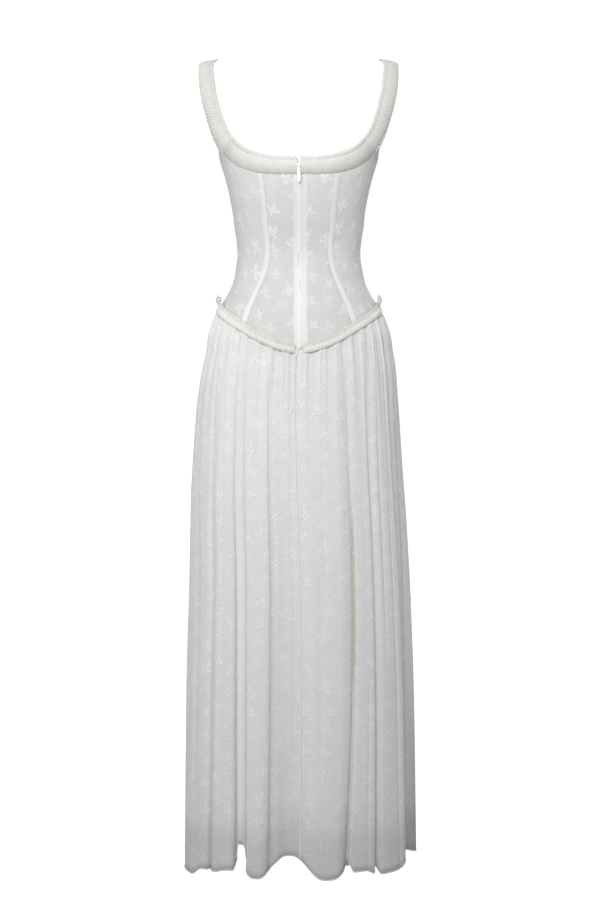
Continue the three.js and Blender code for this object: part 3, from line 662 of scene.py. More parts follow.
def crease_shape(apart, before, after, over):
    """1 at a crease and 0 in the middle of the tubes beside it. A tube that laps over has a steep
    round wall, and the one it covers comes forward again gently."""
    room = np.where(apart < 0, before, after) / 2
    t = np.clip(1 - np.abs(apart) / room, 0, 1)
    steep = np.clip(np.radians(room) * 190 / WALL_WIDTH, 1.6, STEEPEST)
    laps = np.where(apart < 0, over in ("before", "both"), over in ("after", "both"))
    square = np.where(laps, steep, SOFT if over == "soft" else GENTLE)
    return 1 - (1 - t ** square) ** (1 / square)


def fold_depth(hem_angle, down):
    """How far creases, hollows and small folds press inwards, in millimetres."""
    depth = np.zeros(np.broadcast(hem_angle, down).shape)
    count = len(CREASES)
    for i, (hem, middle, top, deep, begin, end, over) in enumerate(CREASES):
        before = hem - CREASES[i - 1][0] if i else hem - CREASES[-1][0] + 360
        after = CREASES[(i + 1) % count][0] - hem + (0 if i + 1 < count else 360)
        shape = crease_shape(turned_apart(hem_angle, hem), before, after, over)
        lasts = eased(down, begin - 0.001, begin + 0.1) * (1 - eased(down, end - 0.15, end + 0.2))
        depth += deep * shape * lasts * down ** 0.6
    for hem, deep, spread, square, rise in HOLLOWS:
        shape = np.exp(-np.abs(turned_apart(hem_angle, hem) / spread) ** square)
        depth += deep * shape * down ** 1.1
    for hem, deep, spread, begin, length in small_folds:
        shape = np.exp(-(turned_apart(hem_angle, hem) / spread) ** 2)
        lasts = eased(down, begin, begin + 0.12) * (1 - eased(down, begin + length, begin + length + 0.25))
        depth += deep * shape * lasts * np.minimum(1, down * 6) ** 0.8
    return depth


def hem_rise(hem_angle):
    """How far the hem lies above its lowest level, in millimetres."""
    rise = 0.05 * fold_depth(hem_angle, np.ones_like(hem_angle))
    for hem, deep, spread, square, extra in HOLLOWS:
        rise += extra * np.exp(-np.abs(turned_apart(hem_angle, hem) / spread) ** square)
    return rise


# %% Fine gathers under the waist seam
GATHER_SPACING = 8.5
GATHER_HEIGHT = 1.45
GATHER_FALL = 75


def gathers(top_angle, fall):
    """Fine uneven ridges that fade out down the skirt. fall is in millimetres below the seam."""
    along = np.radians(top_angle) * MEAN_DEPTH
    uneven = along + 2.6 * np.sin(along / 23) + 1.7 * np.sin(along / 9.7 + 1)
    strength = 0.75 + 0.35 * np.sin(along / 31 + 2)
    fine = np.sin(2 * np.pi * uneven / GATHER_SPACING) * GATHER_HEIGHT * strength
    wide = np.sin(2 * np.pi * (along + 4 * np.sin(along / 41)) / 25) * 2.2
    starts = eased(fall, 0, 14)
    return starts * (fine * np.exp(-fall / GATHER_FALL) + wide * np.exp(-fall / 170))


def bowed(top, middle, hem, down):
    """A curve through three angles: at the waist, part of the way down and at the hem."""
    early = down * (1 - down) / (MIDDLE_DOWN * (1 - MIDDLE_DOWN))
    straight_middle = mix(top, hem, MIDDLE_DOWN)
    return mix(top, hem, down) + early * (middle - straight_middle)


def folded_point(hem_angle, drop, fold_share, gather_share, inset):
    """A point of the skirt, or of the lining where the shares are smaller and it is set in."""
    top_angle = top_of(wrapped(hem_angle))
    down = down_skirt(top_angle, drop)
    angle = bowed(top_angle, middle_of(wrapped(hem_angle)), wrapped(hem_angle), down)
    point = form_point(angle, drop)
    half = form_half(drop)
    inward = np.stack([-point[..., 0] / half ** 2, -point[..., 1] / MEAN_DEPTH ** 2,
                       np.zeros_like(half * angle)], axis=-1)
    inward /= np.linalg.norm(inward, axis=-1, keepdims=True)
    depth = fold_share * fold_depth(hem_angle, down) + mix(inset[0], inset[1], down ** 0.6)
    depth = depth - gather_share * gathers(top_angle, drop - waist_drop(top_angle))
    point[..., 0] += sway(drop)
    return point + inward * depth[..., None]


def skirt_point(angle, drop):
    return folded_point(angle, drop, 1.0, 1.0, (0.0, 0.0))


LINING_FOLD_SHARE = 0.5
LINING_INSET = (5.0, 46.0)


def lining_point(angle, drop):
    return folded_point(angle, drop, LINING_FOLD_SHARE, 0.0, LINING_INSET)


# %% [markdown]
# ## Cutting the skirt
# The skirt has a left and a right back panel and one front panel, joined at the side seams and,
# below the zip, at the centre back. Every panel is gathered at the top and longer round the hem.
# The hem rises a little where a fold runs deep, since the cloth there leans inwards as it falls.

# %% The skirt panels
WAIST_GAP = 1.0
SEAM_GAP = 0.4
HALF_GAP = 0.0


def skirt_rows(v):
    """Rows crowd together under the waist seam, where the gathers are."""
    return 0.55 * v ** 2 + 0.45 * v


def crowded(start, stop, count):
    """Angles from start to stop that lie closer together near the creases."""
    fine = np.linspace(start, stop, 4000)
    weight = np.ones_like(fine)
    for row in CREASES:
        weight += 3.0 * np.exp(-(turned_apart(fine, row[0]) / 1.0) ** 2)
    total = np.concatenate([[0], np.cumsum((weight[1:] + weight[:-1]) / 2)])
    return np.interp(np.linspace(0, total[-1], count + 1), total, fine)


def skirt_place(surface, start, stop, end_drop, rise):
    def place(u, v):
        angle = crowded(start, stop, u.shape[1] - 1)[None, :] + 0 * u
        top = waist_drop(top_of(angle)) + WAIST_GAP / 2
        bottom = end_drop - rise * hem_rise(angle)
        return surface(angle, mix(top, bottom, skirt_rows(v)))
    return place


# The hem angle of the painted shadow line down one deep fold.
PAINTED_SHADOW_FOLD = 22.0
# The angle round which painted shade darkens the far side of the skirt.
FAR_SIDE_SHADE_ANGLE = 88.0


def skirt_marks(start, stop):
    """Where the cloth lies double, in the narrow pleats behind two tubes that lap over; painted shade below
    the lining's hem, where no lining is behind it, and on the far side; and a thin line of painted shadow down one
    deep fold."""
    def angles(u):
        return crowded(start, stop, u.shape[1] - 1)[None, :] + 0 * u

    # Painted shade: darker below the lining's hem, and darker still on the far side.
    def unlined_painted_shade(u, v, points):
        fall = -points[..., 2] + 0.3 * hem_rise(angles(u))
        side = np.exp(-np.abs(turned_apart(angles(u), FAR_SIDE_SHADE_ANGLE) / 9) ** 4) * eased(fall, 950, 1400)
        return eased(fall, LINING_DROP - 14, LINING_DROP + 36) + 1.8 * side

    # Painted shadow: a narrow line at one fold's angle, part of the way down.
    def fold_painted_shadow(u, v, points):
        line = np.exp(-(turned_apart(angles(u), PAINTED_SHADOW_FOLD) / 0.24) ** 2)
        return line * eased(-points[..., 2], 800, 870) * (1 - eased(-points[..., 2], 1080, 1150))

    def doubled(u, v, points):
        angle = angles(u)
        share = np.zeros_like(u)
        for first, last in ((-32.2, -26.6), (164.2, 168.0)):
            share += eased(angle, first - 0.3, first + 0.3) * (1 - eased(angle, last - 0.3, last + 0.3))
        return share * 0.8 * eased(v, 0.2, 0.7)

    return {"doubled": doubled, "unlined_painted_shade": unlined_painted_shade, "fold_painted_shadow": fold_painted_shadow}


skirt_cuts = (
    ("skirt_back_left", -90, 0, 250, 104),
    ("skirt_back_right", 0, 90, 250, 104),
    ("skirt_front", 90, 270, 360, 84),
)
skirts = {}
for name, start, stop, columns, rows in skirt_cuts:
    mesh, points = lay_grid(name + "_cloth", columns, rows,
                            skirt_place(skirt_point, start, stop, HEM_DROP, 1.0), 0.5, skirt_marks(start, stop))
    piece = add_piece(name + "_cloth", mesh, SKIRT_COTTON, [name])
    thicken(piece, COTTON_THICKNESS)
    skirts[name] = (piece, points)

# %% [markdown]
# ## The lining
# The lining is an underskirt of smooth cloth, sewn in at the waist seam and cut narrower and
# shorter than the skirt. It is partly why the skirt turns greyer near the hem, where nothing white lies
# behind it; painted shade in the skirt's colour does the rest. The lining's own hem is turned up, so the last two
# centimetres are double.

# %% The lining panels
linings = {}
for name, start, stop, columns, rows in (("lining_back", -90, 90, 130, 44), ("lining_front", 90, 270, 130, 44)):
    mesh, points = lay_grid(name + "_cloth", columns, rows,
                            skirt_place(lining_point, start, stop, LINING_DROP, 0.3), 0.8)
    piece = add_piece(name + "_cloth", mesh, LINING_CLOTH, [name])
    thicken(piece, 0.3)
    declare_sheet(piece, points)
    linings[name] = (piece, points)


# %% [markdown]
# ## The neck band's line
# One gathered band runs round the whole neckline and makes the straps. Its two edges are drawn
# here as a row of stations from the centre to the shoulder: on the form at first, and free in
# the air along the strap. The pattern cutter would draw the same two lines on a flat draft.

# %% Tables of the band, in millimetres
BAND_COLUMNS = ("neck_x", "neck_drop", "edge_x", "edge_drop", "neck_y", "edge_y")
BACK_BAND = (
    (0, 191, 0, 220.5, 0, 0),
    (27, 190.5, 28, 220.5, 0, 0),
    (54, 187.5, 58, 219, 0, 0),
    (76, 182, 84, 214, 0, 0),
    (93, 175, 104, 206.5, 0, 0),
    (107, 165, 119.5, 196, 0, 0),
    (118, 153.5, 137, 177, 0, 0),
    (126, 142, 149, 158, -76, -59),
    (133, 127, 158.5, 138, -71, -57),
    (141, 104, 168.5, 108, -65, -53),
    (148, 77, 176, 81, -54, -45),
    (153, 49, 180.5, 55, -41, -35),
    (156, 22, 182, 29, -27, -24),
    (153, 8, 182, 15, -13, -12),
    (148, 1.5, 181, 8, 8, 8),
)
FRONT_BAND = (
    (0, 203, 0, 233, 0, 0),
    (28, 202.5, 29, 232.5, 0, 0),
    (57, 198.5, 61, 230, 0, 0),
    (80, 191.5, 88, 223, 0, 0),
    (97, 182, 108, 213, 0, 0),
    (110, 169, 122, 200.5, 0, 0),
    (120, 155, 139.5, 178.5, 0, 0),
    (129, 141, 152, 158, 84, 64),
    (136, 124, 162, 135, 79, 64),
    (147, 100, 172, 105, 71, 61),
    (154.5, 73, 179, 78, 61, 53),
    (159, 46, 183, 52, 52, 46),
    (161.5, 21, 183, 27, 41, 37),
    (159, 8, 182.5, 15, 29, 28),
    (148, 1.5, 181, 8, 8, 8),
)
BODY_ROWS = 7
UNDERARM = ((60, 171.5), (66, 174), (73, 178.5), (82, 184.5), (92, 188), (102, 188), (110, 185.5), (116, 181))
UNDERARM_WIDTH = 144.5
ZIP_NOTCH = 3.4
TOP_GAP = 0.7


# %% Lines of the band
def band_line(rows, edge, is_back):
    """One edge of the band as a function of the station, which runs from 0 at the centre."""
    table = [(float(i),) + row for i, row in enumerate(rows)]
    columns = ("at",) + BAND_COLUMNS
    across = reader(columns, table, "at", edge + "_x")
    falls = reader(columns, table, "at", edge + "_drop")
    free = reader(columns, table[BODY_ROWS:], "at", edge + "_y")

    def line(at):
        x, drop = across(at), falls(at)
        on_form = np.maximum(drop, FORM[0][0])
        angle = angle_across(x, on_form)
        body_y = form_point(angle if is_back else 180 - angle, on_form)[..., 1]
        lift = np.clip(at - (BODY_ROWS - 1), 0, 1)
        return np.stack([x, mix(body_y, free(at), lift), -drop], axis=-1)

    return line


back_neck, back_edge = band_line(BACK_BAND, "neck", True), band_line(BACK_BAND, "edge", True)
front_neck, front_edge = band_line(FRONT_BAND, "neck", False), band_line(FRONT_BAND, "edge", False)


def unit(vectors):
    return vectors / np.maximum(np.linalg.norm(vectors, axis=-1, keepdims=True), 1e-9)


def top_edge_table():
    """The bodice's top edge by angle: the band's sewn edge, and under the arm the armhole."""
    at = np.linspace(0, BODY_ROWS - 1, 13)[:-1]
    rows = []
    for line, is_back in ((back_edge, True), (front_edge, False)):
        points = line(at)
        angle = angle_across(points[:, 0], -points[:, 2])
        rows += list(zip(angle if is_back else 180 - angle, -points[:, 2]))
    return sorted(row for row in rows if not 59 < row[0] < 117) + list(UNDERARM)


top_of_bodice = reader(("angle", "drop"), sorted(top_edge_table()), "angle", "drop")


def top_drop(angle):
    return top_of_bodice(folded_angle(angle)) + TOP_GAP


def side_point(angle, drop):
    """The form, but upright where the bodice's side rises to the armhole."""
    point = form_point(angle, drop)
    point[..., 0] = np.clip(point[..., 0], -UNDERARM_WIDTH, UNDERARM_WIDTH)
    return point


# %% [markdown]
# ## The bodice
# Seven panels make the bodice: two beside the zip, two at the back of each side, two at the front
# of each side and one at the centre front. They meet at the curved princess seams, which do the
# work of darts, and at the side seams. At a seam, the cloth dips where the stitches pull it in.

# %% The bodice panels
def back_seam(sign):
    return lambda drop: sign * princess_back(drop)


def front_seam(sign):
    return lambda drop: 180 + sign * princess_front(drop)


def straight(angle):
    return lambda drop: angle + 0 * drop


def pulled_in(u, v, width_mm, free_side):
    """How far the seams pull a panel in, and its faint level creases, in millimetres.
    free_side is the side that has no seam: "left", "right" or nothing."""
    left = u if free_side != "left" else 1 + 0 * u
    right = 1 - u if free_side != "right" else 1 + 0 * u
    from_seam = np.minimum(left, right) * width_mm
    seam = 0.9 * np.exp(-(from_seam / 3.0) ** 2)
    slack = 0.5 * np.sin(v * 17 + u * 3) * np.exp(-((v - 0.55) / 0.22) ** 2)
    pucker = 0.22 * np.sin(v * 190 + 2 * np.sin(v * 23)) * np.exp(-from_seam / 5.0)
    return seam + slack + pucker


def panel_place(left_seam, right_seam, free_side):
    def place(u, v):
        drop = mix(205.0, 500.0, v)
        angle = drop
        for _ in range(8):
            angle = mix(left_seam(drop) + HALF_GAP, right_seam(drop) - HALF_GAP, u)
            drop = mix(top_drop(angle), waist_drop(angle) - WAIST_GAP / 2, v)
        out = outward(form_point, angle, drop)
        width = np.radians(right_seam(np.array(350.0)) - left_seam(np.array(350.0))) * 110
        return side_point(angle, drop) - out * pulled_in(u, v, float(width), free_side)[..., None]
    return place


FACING_WIDTH = 12.0
FACING_SHIFT = 2.2


def beside_zip(u, v, points):
    """The seam allowance beside the zip is turned under, so the cloth is double there."""
    return 1 - eased(np.abs(points[..., 0] - FACING_SHIFT), FACING_WIDTH - 0.8, FACING_WIDTH + 0.8)


panel_cuts = (
    ("bodice_back_centre_left", back_seam(-1), straight(0), 44),
    ("bodice_back_centre_right", straight(0), back_seam(1), 44),
    ("bodice_back_side_left", straight(-90), back_seam(-1), 70),
    ("bodice_back_side_right", back_seam(1), straight(90), 70),
    ("bodice_front_side_right", straight(90), front_seam(-1), 70),
    ("bodice_front_centre", front_seam(-1), front_seam(1), 80),
    ("bodice_front_side_left", front_seam(1), straight(270), 70),
)
bodice = {}
for name, left_seam, right_seam, columns in panel_cuts:
    free_side = {"bodice_back_centre_left": "right", "bodice_back_centre_right": "left"}.get(name, "")
    mesh, points = lay_grid(name + "_cloth", columns, 56, panel_place(left_seam, right_seam, free_side),
                            0.0, {"doubled": beside_zip} if free_side else None)
    piece = add_piece(name + "_cloth", mesh, BODICE_COTTON, [name])
    thicken(piece, COTTON_THICKNESS)
    bodice[name] = (piece, points)

# %% [markdown]
# ## Gathered tubes
# The neck band and the waist trim are strips of cloth gathered on both edges over a soft core, so
# that they stand up as small rolls with folds across them. A tube of cloth is laid as a grid
# whose two long edges meet. Along it, uneven ridges press the section in and out. Puckers run
# deepest at the two sewn edges and are nearly gone on the crown, as gathers do.

# %% Lay a closed tube of cloth
def lay_tube(name, columns, rows, place):
    """A grid whose first and last rows meet, joined there, with its faces turned outwards."""
    mesh, points = lay_grid(name, columns, rows, place, 0.0)
    cloth = bmesh.new()
    cloth.from_mesh(mesh)
    bmesh.ops.remove_doubles(cloth, verts=cloth.verts, dist=0.00001)
    bmesh.ops.recalc_face_normals(cloth, faces=cloth.faces)
    cloth.to_mesh(mesh)
    cloth.free()
    return mesh, points


def section_of(rows, around):
    """A smooth closed section through corners (across, height), read at a share of its length."""
    corners = np.array(list(rows) + [rows[0]], dtype=float)
    count = len(rows)
    t = np.mod(around, 1.0) * count
    i = np.floor(t).astype(int) % count
    f = (t - np.floor(t))[..., None]
    before, here = corners[(i - 1) % count], corners[i]
    after, later = corners[(i + 1) % count], corners[(i + 2) % count]
    return 0.5 * (2 * here + (after - before) * f + (2 * before - 5 * here + 4 * after - later) * f ** 2
                  + (3 * here - before - 3 * after + later) * f ** 3)


def ruching(length, spacing, seed):
    """Uneven ridges along a gathered strip: a height from -1 to 1 at a distance in millimetres."""
    chance = np.random.default_rng(seed)
    phases = chance.uniform(0, 6.28, 5)

    def height(distance):
        bent = distance + 1.1 * np.sin(distance / 7.1 + phases[0]) + 1.7 * np.sin(distance / 17 + phases[1])
        main = np.sin(2 * np.pi * bent / spacing + phases[2])
        other = np.sin(2 * np.pi * bent / (spacing * 1.63) + phases[3])
        swell = 0.75 + 0.25 * np.sin(distance / 13 + phases[4])
        return (0.72 * main + 0.34 * other) * swell

    return height


# %% [markdown]
# ## The neck band
# Seen from behind, the band is a cream roll about 25 mm wide, with a narrower and darker roll at
# its inner edge where the facing turns under. The gathers run across it every four millimetres
# or so. The two ends stop short of the centre back, which leaves a notch for the zip.

# %% The neck band in three pieces
BAND_FACE = (
    (0.16, 0.2), (0.145, 2.4), (0.24, 4.6), (0.42, 6.0), (0.6, 6.1), (0.79, 4.9), (0.93, 2.9),
    (1.0, 1.5), (1.0, 0.4), (0.82, -0.3), (0.5, -0.5), (0.28, -0.4),
)
ROLL_FACE = (
    (0.0, -0.6), (-0.03, 1.2), (0.02, 2.9), (0.1, 3.7), (0.18, 3.2), (0.215, 1.6), (0.2, -0.2), (0.1, -1.0),
)
GATHER_LENGTHS = 1.7


def band_frames(neck, edge, is_back, at, start_x, last, seam_shift):
    """The two edge points and the outward direction at every station."""
    a, b = neck(at), edge(at)
    across = unit(b - a)
    ahead = neck(np.minimum(at + 0.05, last)) + edge(np.minimum(at + 0.05, last))
    behind = neck(np.maximum(at - 0.05, 0)) + edge(np.maximum(at - 0.05, 0))
    run = ahead - behind
    out = unit(np.cross(across, run)) if is_back else unit(np.cross(run, across))
    first = np.clip(1 - at / 0.6, 0, 1)[..., None]
    out = unit(mix(out, np.array([0.0, -1.0 if is_back else 1.0, 0.0]), first))
    top = np.stack([-across[..., 2], np.zeros_like(at), across[..., 0]], axis=-1)
    end = np.clip((at - last + 1.0) / 1.0, 0, 1)[..., None]
    out = unit(mix(out, unit(top), end * end))
    shift = np.clip(1 - at / 0.5, 0, 1) * start_x
    a[..., 0] = np.maximum(a[..., 0], shift)
    b[..., 0] = np.maximum(b[..., 0], shift)
    bend = np.clip((at - last + 0.3) / 0.3, 0, 1) * seam_shift
    a[..., 1] += bend
    b[..., 1] += bend
    return a, b, out


def band_place(face, neck, edge, is_back, mirror, both, start_x, seed, depth):
    last = float(len(BACK_BAND) - 1)
    seam_shift = -SEAM_GAP / 2 if is_back else SEAM_GAP / 2
    stations = np.linspace(0, last, 400)
    middles = (neck(stations) + edge(stations)) / 2
    lengths = np.concatenate([[0], np.cumsum(np.linalg.norm(np.diff(middles, axis=0), axis=1))])
    full = lengths[-1]
    height = ruching(full, 4.1, seed)
    twist = ruching(full, 3.3, seed + 50)

    def place(u, v):
        distance = (2 * u - 1) * full if both else u * full
        at = np.interp(np.abs(distance), lengths, stations)
        a, b, out = band_frames(neck, edge, is_back, at, start_x, last, seam_shift)
        round_share = v + 0.006 * twist(distance + 40 * np.sin(v * 6.28))
        section = section_of(face, np.where((v == 0) | (v == 1), 0.0, round_share))
        middle = np.array(face).mean(axis=0)
        arm = section - middle
        puckered = 0.55 + 0.45 * np.abs(np.cos(np.pi * np.clip(section[..., 0], 0, 1)))
        skew = 5.0 * (section[..., 0] - 0.5) * np.sin(distance / 29 + seed)
        swell = 1 + depth * puckered * height(distance + skew) + 0.04 * np.sin(distance / 19 + seed)
        wander = 0.02 * height(distance * 0.6 + 9)
        section = middle + arm * np.stack([1 + (swell - 1) * 0.22, swell], axis=-1)
        section[..., 0] += wander
        section[..., 1] *= 1 - 0.7 * eased(at, last - 1.8, last - 0.3)
        point = a + (b - a) * section[..., :1] + out * section[..., 1:]
        sign = np.where(distance < 0, -1.0, 1.0) * (-1 if mirror else 1)
        return np.stack([point[..., 0] * sign, point[..., 1], point[..., 2]], axis=-1)

    return place


band_cuts = (
    ("neck_band_back_right", back_neck, back_edge, True, False, False, ZIP_NOTCH, 3),
    ("neck_band_back_left", back_neck, back_edge, True, True, False, ZIP_NOTCH, 4),
    ("neck_band_front", front_neck, front_edge, False, False, True, 0.0, 5),
)
bands = {}
for name, neck, edge, is_back, mirror, both, start_x, seed in band_cuts:
    columns = 960 if both else 500
    mesh, points = lay_tube(name + "_ruched", columns, 20,
                            band_place(BAND_FACE, neck, edge, is_back, mirror, both, start_x, seed, 0.17))
    band = add_piece(name + "_ruched", mesh, BAND_CLOTH, [name])
    thicken(band, 0.3)
    mesh, roll_points = lay_tube(name + "_inner_roll", columns, 10,
                                 band_place(ROLL_FACE, neck, edge, is_back, mirror, both, start_x, seed + 7, 0.2))
    roll = add_piece(name + "_inner_roll", mesh, BAND_ROLL)
    thicken(roll, 0.3)
    bands[name] = (band, points, roll, roll_points)

# %% [markdown]
# ## The waist trim
# The pointed waist seam is covered by a strip gathered along its middle. Its lower half is rolled
# and full, and its upper edge stands up as a small frill. At each side seam the frill's end is
# left free and flares out into little points. Here the roll is a tube and the frill is a sheet
# whose upper edge waves in and out more and more.

# %% The waist trim in three pieces
TRIM_HALF = 7.6
TRIM_FACE = (
    (1.08, 0.6), (1.06, 1.7), (0.85, 3.0), (0.45, 3.8), (0.0, 3.7), (-0.25, 3.0), (-0.36, 1.8), (-0.3, 0.8),
    (0.3, 0.6),
)
FRILL_BASE = -0.2
FRILL_TOP = -1.35
FRILL_SPACING = 9.5
TIP_REACH = 10.0


def trim_lengths(start, stop):
    angles = np.linspace(start, stop, 600)
    line = form_point(angles, waist_drop(angles))
    steps = np.linalg.norm(np.diff(line, axis=0), axis=1)
    return angles, np.concatenate([[0], np.cumsum(steps)])


def trim_place(start, stop, seed):
    angles, lengths = trim_lengths(start, stop)
    height = ruching(lengths[-1], 4.3, seed)

    def place(u, v):
        distance = u * lengths[-1]
        angle = np.interp(distance, lengths, angles)
        section = section_of(TRIM_FACE, np.where((v == 0) | (v == 1), 0.0, v))
        middle = np.array([0.35, 1.6])
        skew = 4.0 * (section[..., 0] - 0.3) * np.sin(distance / 21 + seed)
        swell = 1 + 0.5 * height(distance + skew) + 0.05 * np.sin(distance / 15)
        section = middle + (section - middle) * np.stack([1 + (swell - 1) * 0.25, swell], axis=-1)
        section[..., 1] *= 0.5 + 0.5 * eased(np.abs(angle), TRIM_START, TRIM_START + 1.0)
        seam = waist_drop(angle) + section[..., 0] * TRIM_HALF
        return form_point(angle, seam) + outward(form_point, angle, seam) * np.maximum(section[..., 1:], 0.5)

    return place


def frill_place(start, stop, seed):
    angles, lengths = trim_lengths(start, stop)
    fine = ruching(lengths[-1], FRILL_SPACING, seed)
    finer = ruching(lengths[-1], 4.3, seed + 3)

    def place(u, v):
        distance = u * lengths[-1]
        angle = np.interp(distance, lengths, angles)
        free = 1 - v
        from_side = 90 - np.minimum(np.abs(turned_apart(angle, 90)), np.abs(turned_apart(angle, 270)))
        near_side = eased(from_side, 62, 85)
        reach = 1 + 0.12 * fine(distance + 30) + 0.08 * np.sin(distance / 12 + seed)
        points_up = near_side * (0.5 + 0.8 * fine(distance * 1.3 + 5))
        below = mix(FRILL_BASE, FRILL_TOP * reach - points_up, free)
        wave = (0.8 + 2.4 * near_side) * fine(distance) * free ** 0.8 + 1.1 * finer(distance) * (1 - 0.3 * free)
        lean = 2.3 + 0.9 * free + near_side * free ** 1.3 * (TIP_REACH + 1.5 * finer(distance * 0.7))
        seam = waist_drop(angle) + below * TRIM_HALF
        out = outward(form_point, angle, seam)
        return form_point(angle, seam) + out * np.maximum(lean + wave, 0.8)[..., None]

    return place


TRIM_START = 1.7
trim_cuts = (
    ("waist_trim_back_right", TRIM_START, 90 - HALF_GAP, 300, 11),
    ("waist_trim_back_left", -90 + HALF_GAP, -TRIM_START, 300, 12),
    ("waist_trim_front", 90 + HALF_GAP, 270 - HALF_GAP, 560, 13),
)
trims = {}
for name, start, stop, columns, seed in trim_cuts:
    mesh, points = lay_tube(name + "_roll", columns, 16, trim_place(start, stop, seed))
    roll = add_piece(name + "_roll", mesh, TRIM_CLOTH, [name])
    thicken(roll, 0.3)
    mesh, frill_points = lay_grid(name + "_frill", columns, 12, frill_place(start, stop, seed), 0.0)
    frill = add_piece(name + "_frill", mesh, FRILL_CLOTH)
    thicken(frill, 0.3)
    trims[name] = (roll, points, frill, frill_points)

# %% [markdown]
# ## Casings, bindings and tapes
# A bone casing is a narrow tape sewn over a princess seam with a row of stitches down each edge,
# and the bone inside lifts its middle. Under the arm, the armhole is bound with a folded strip.
# Behind the centre back, two tapes carry the concealed zip, whose white shows through the cotton.

# %% Strips that follow a line down the bodice
BONE_WIDTH = 11.0
CASING_TOP = 2.0


def strip_place(line, width, top, bottom, height, surface):
    """A strip of a given width along line(drop), from top(angle) to bottom(angle)."""
    def place(u, v):
        drop = mix(200.0, 480.0, v)
        angle = line(drop)
        for _ in range(8):
            angle = line(drop)
            drop = mix(top(angle), bottom(angle), v)
        across = (u - 0.5) * np.degrees(width / 115)
        out = outward(surface, angle + across, drop)
        return surface(angle + across, drop) + out * height(u, v)[..., None]
    return place


def casing_height(u, v):
    bone = np.sqrt(np.clip(1 - ((u - 0.5) / 0.36) ** 2, 0, 1))
    ripple = 0.18 * np.sin(v * 150 + 3 * np.sin(v * 19)) * np.exp(-((np.abs(u - 0.5) - 0.42) / 0.06) ** 2)
    return 0.5 + 0.55 * bone + ripple


def casing_top(angle):
    return top_drop(angle) + CASING_TOP


def casing_bottom(angle):
    return waist_drop(angle) - TRIM_HALF * 0.9


casings = {}
for name, line in (("bone_casing_back_left", back_seam(-1)), ("bone_casing_back_right", back_seam(1)),
                   ("bone_casing_front_right", front_seam(-1)), ("bone_casing_front_left", front_seam(1))):
    mesh, points = lay_grid(name + "_tape", 10, 110,
                            strip_place(line, BONE_WIDTH, casing_top, casing_bottom, casing_height, form_point))
    piece = add_piece(name + "_tape", mesh, CASING_CLOTH, [name])
    thicken(piece, 0.3)
    casings[name] = (piece, points)

# %% The zip tapes
TAPE_TOP = 194.0
TAPE_END = 620.0
TAPE_WIDTH = 11.0


def behind_opening(angle, drop):
    """The inside of the bodice above the waist seam, and of the skirt below it."""
    below = eased(drop, waist_drop(angle) - 4, waist_drop(angle) + 4)[..., None]
    return mix(form_point(angle, drop), folded_point(angle, drop, 1.0, 0.0, (0, 0)), below)


def tape_place(sign):
    def place(u, v):
        drop = mix(TAPE_TOP, TAPE_END, v)
        x = mix(0.25, TAPE_WIDTH, u)
        angle = sign * angle_across(x, drop)
        depth = 1.9 + 0.5 * np.exp(-((x - 1.2) / 0.9) ** 2) + 5.0 * eased(drop, 535, 560)
        return behind_opening(angle, drop) - outward(behind_opening, angle, drop) * depth[..., None]
    return place


tapes = {}
for name, sign in (("zip_tape_left", -1), ("zip_tape_right", 1)):
    mesh, points = lay_grid(name + "_cloth", 8, 120, tape_place(sign))
    piece = add_piece(name + "_cloth", mesh, TAPE_CLOTH, [name])
    thicken(piece, 0.5)
    tapes[name] = (piece, points)

# %% The armhole bindings
BINDING_FACE = ((0.0, 1.1), (2.4, 1.5), (4.8, 1.1), (5.6, 0.0), (5.4, -1.4), (4.2, -2.2), (0.8, -2.2), (-0.2, -1.0))


def binding_place(sign):
    height = ruching(200, 5.5, 21)

    def place(u, v):
        angle = mix(59.5, 120.0, u)
        base = top_drop(angle) - 0.6
        section = section_of(BINDING_FACE, np.where((v == 0) | (v == 1), 0.0, v))
        distance = np.radians(angle) * 150
        tapered = eased(angle, 60, 68) * (1 - eased(angle, 116, 120))
        swell = (1 + 0.05 * height(distance)) * (0.35 + 0.65 * tapered)
        lift = section[..., 1:] * swell[..., None]
        point = side_point(angle, base) + outward(form_point, angle, base) * lift
        point[..., 2] += section[..., 0] * eased(angle, 62, 72) * (1 - 0.8 * eased(angle, 115, 120))
        point[..., 0] *= sign
        return point

    return place


bindings = {}
for name, sign in (("armhole_binding_right", 1), ("armhole_binding_left", -1)):
    mesh, points = lay_tube(name + "_fold", 120, 16, binding_place(sign))
    piece = add_piece(name + "_fold", mesh, BAND_CLOTH, [name])
    thicken(piece, 0.3)
    bindings[name] = (piece, points)

# %% [markdown]
# ## The hem and the stitches
# The hem is rolled, a hand finish for voile: the edge is turned twice into a fine cord that shows
# as a bright line. Each row of stitches is one short thread, repeated along a line and joined
# into one mesh, as an array would do it, but turned to follow the curve.

# %% The rolled hem
HEM_ROLL = 1.1


def hem_place(surface, start, stop, end_drop, rise, radius):
    def place(u, v):
        angle = crowded(start, stop, u.shape[1] - 1)[None, :] + 0 * u
        drop = end_drop - rise * hem_rise(angle) - radius * 0.8
        turn = 2 * np.pi * np.where(v == 1, 0.0, v)
        out = outward(surface, angle, drop)
        line = surface(angle, drop) - out * 0.2
        line[..., 2] += radius * np.sin(turn)
        return line + out * (radius * np.cos(turn))[..., None]
    return place


hems = {}
for name, start, stop, columns, rows in skirt_cuts:
    mesh, points = lay_tube(name + "_hem", columns, 8,
                            hem_place(skirt_point, start, stop, HEM_DROP, 1.0, HEM_ROLL))
    hem = add_piece(name + "_hem", mesh, SKIRT_COTTON)
    hems[name] = hem

# %% [markdown]
# ## The centre back
# The two folded edges of the bodice meet over the zip, and below it the skirt's back seam is
# closed as a narrow French seam. Both show as fine bright lines, because the cloth is double
# there. They are laid as small tubes that follow the middle of the back, pressed half flat.

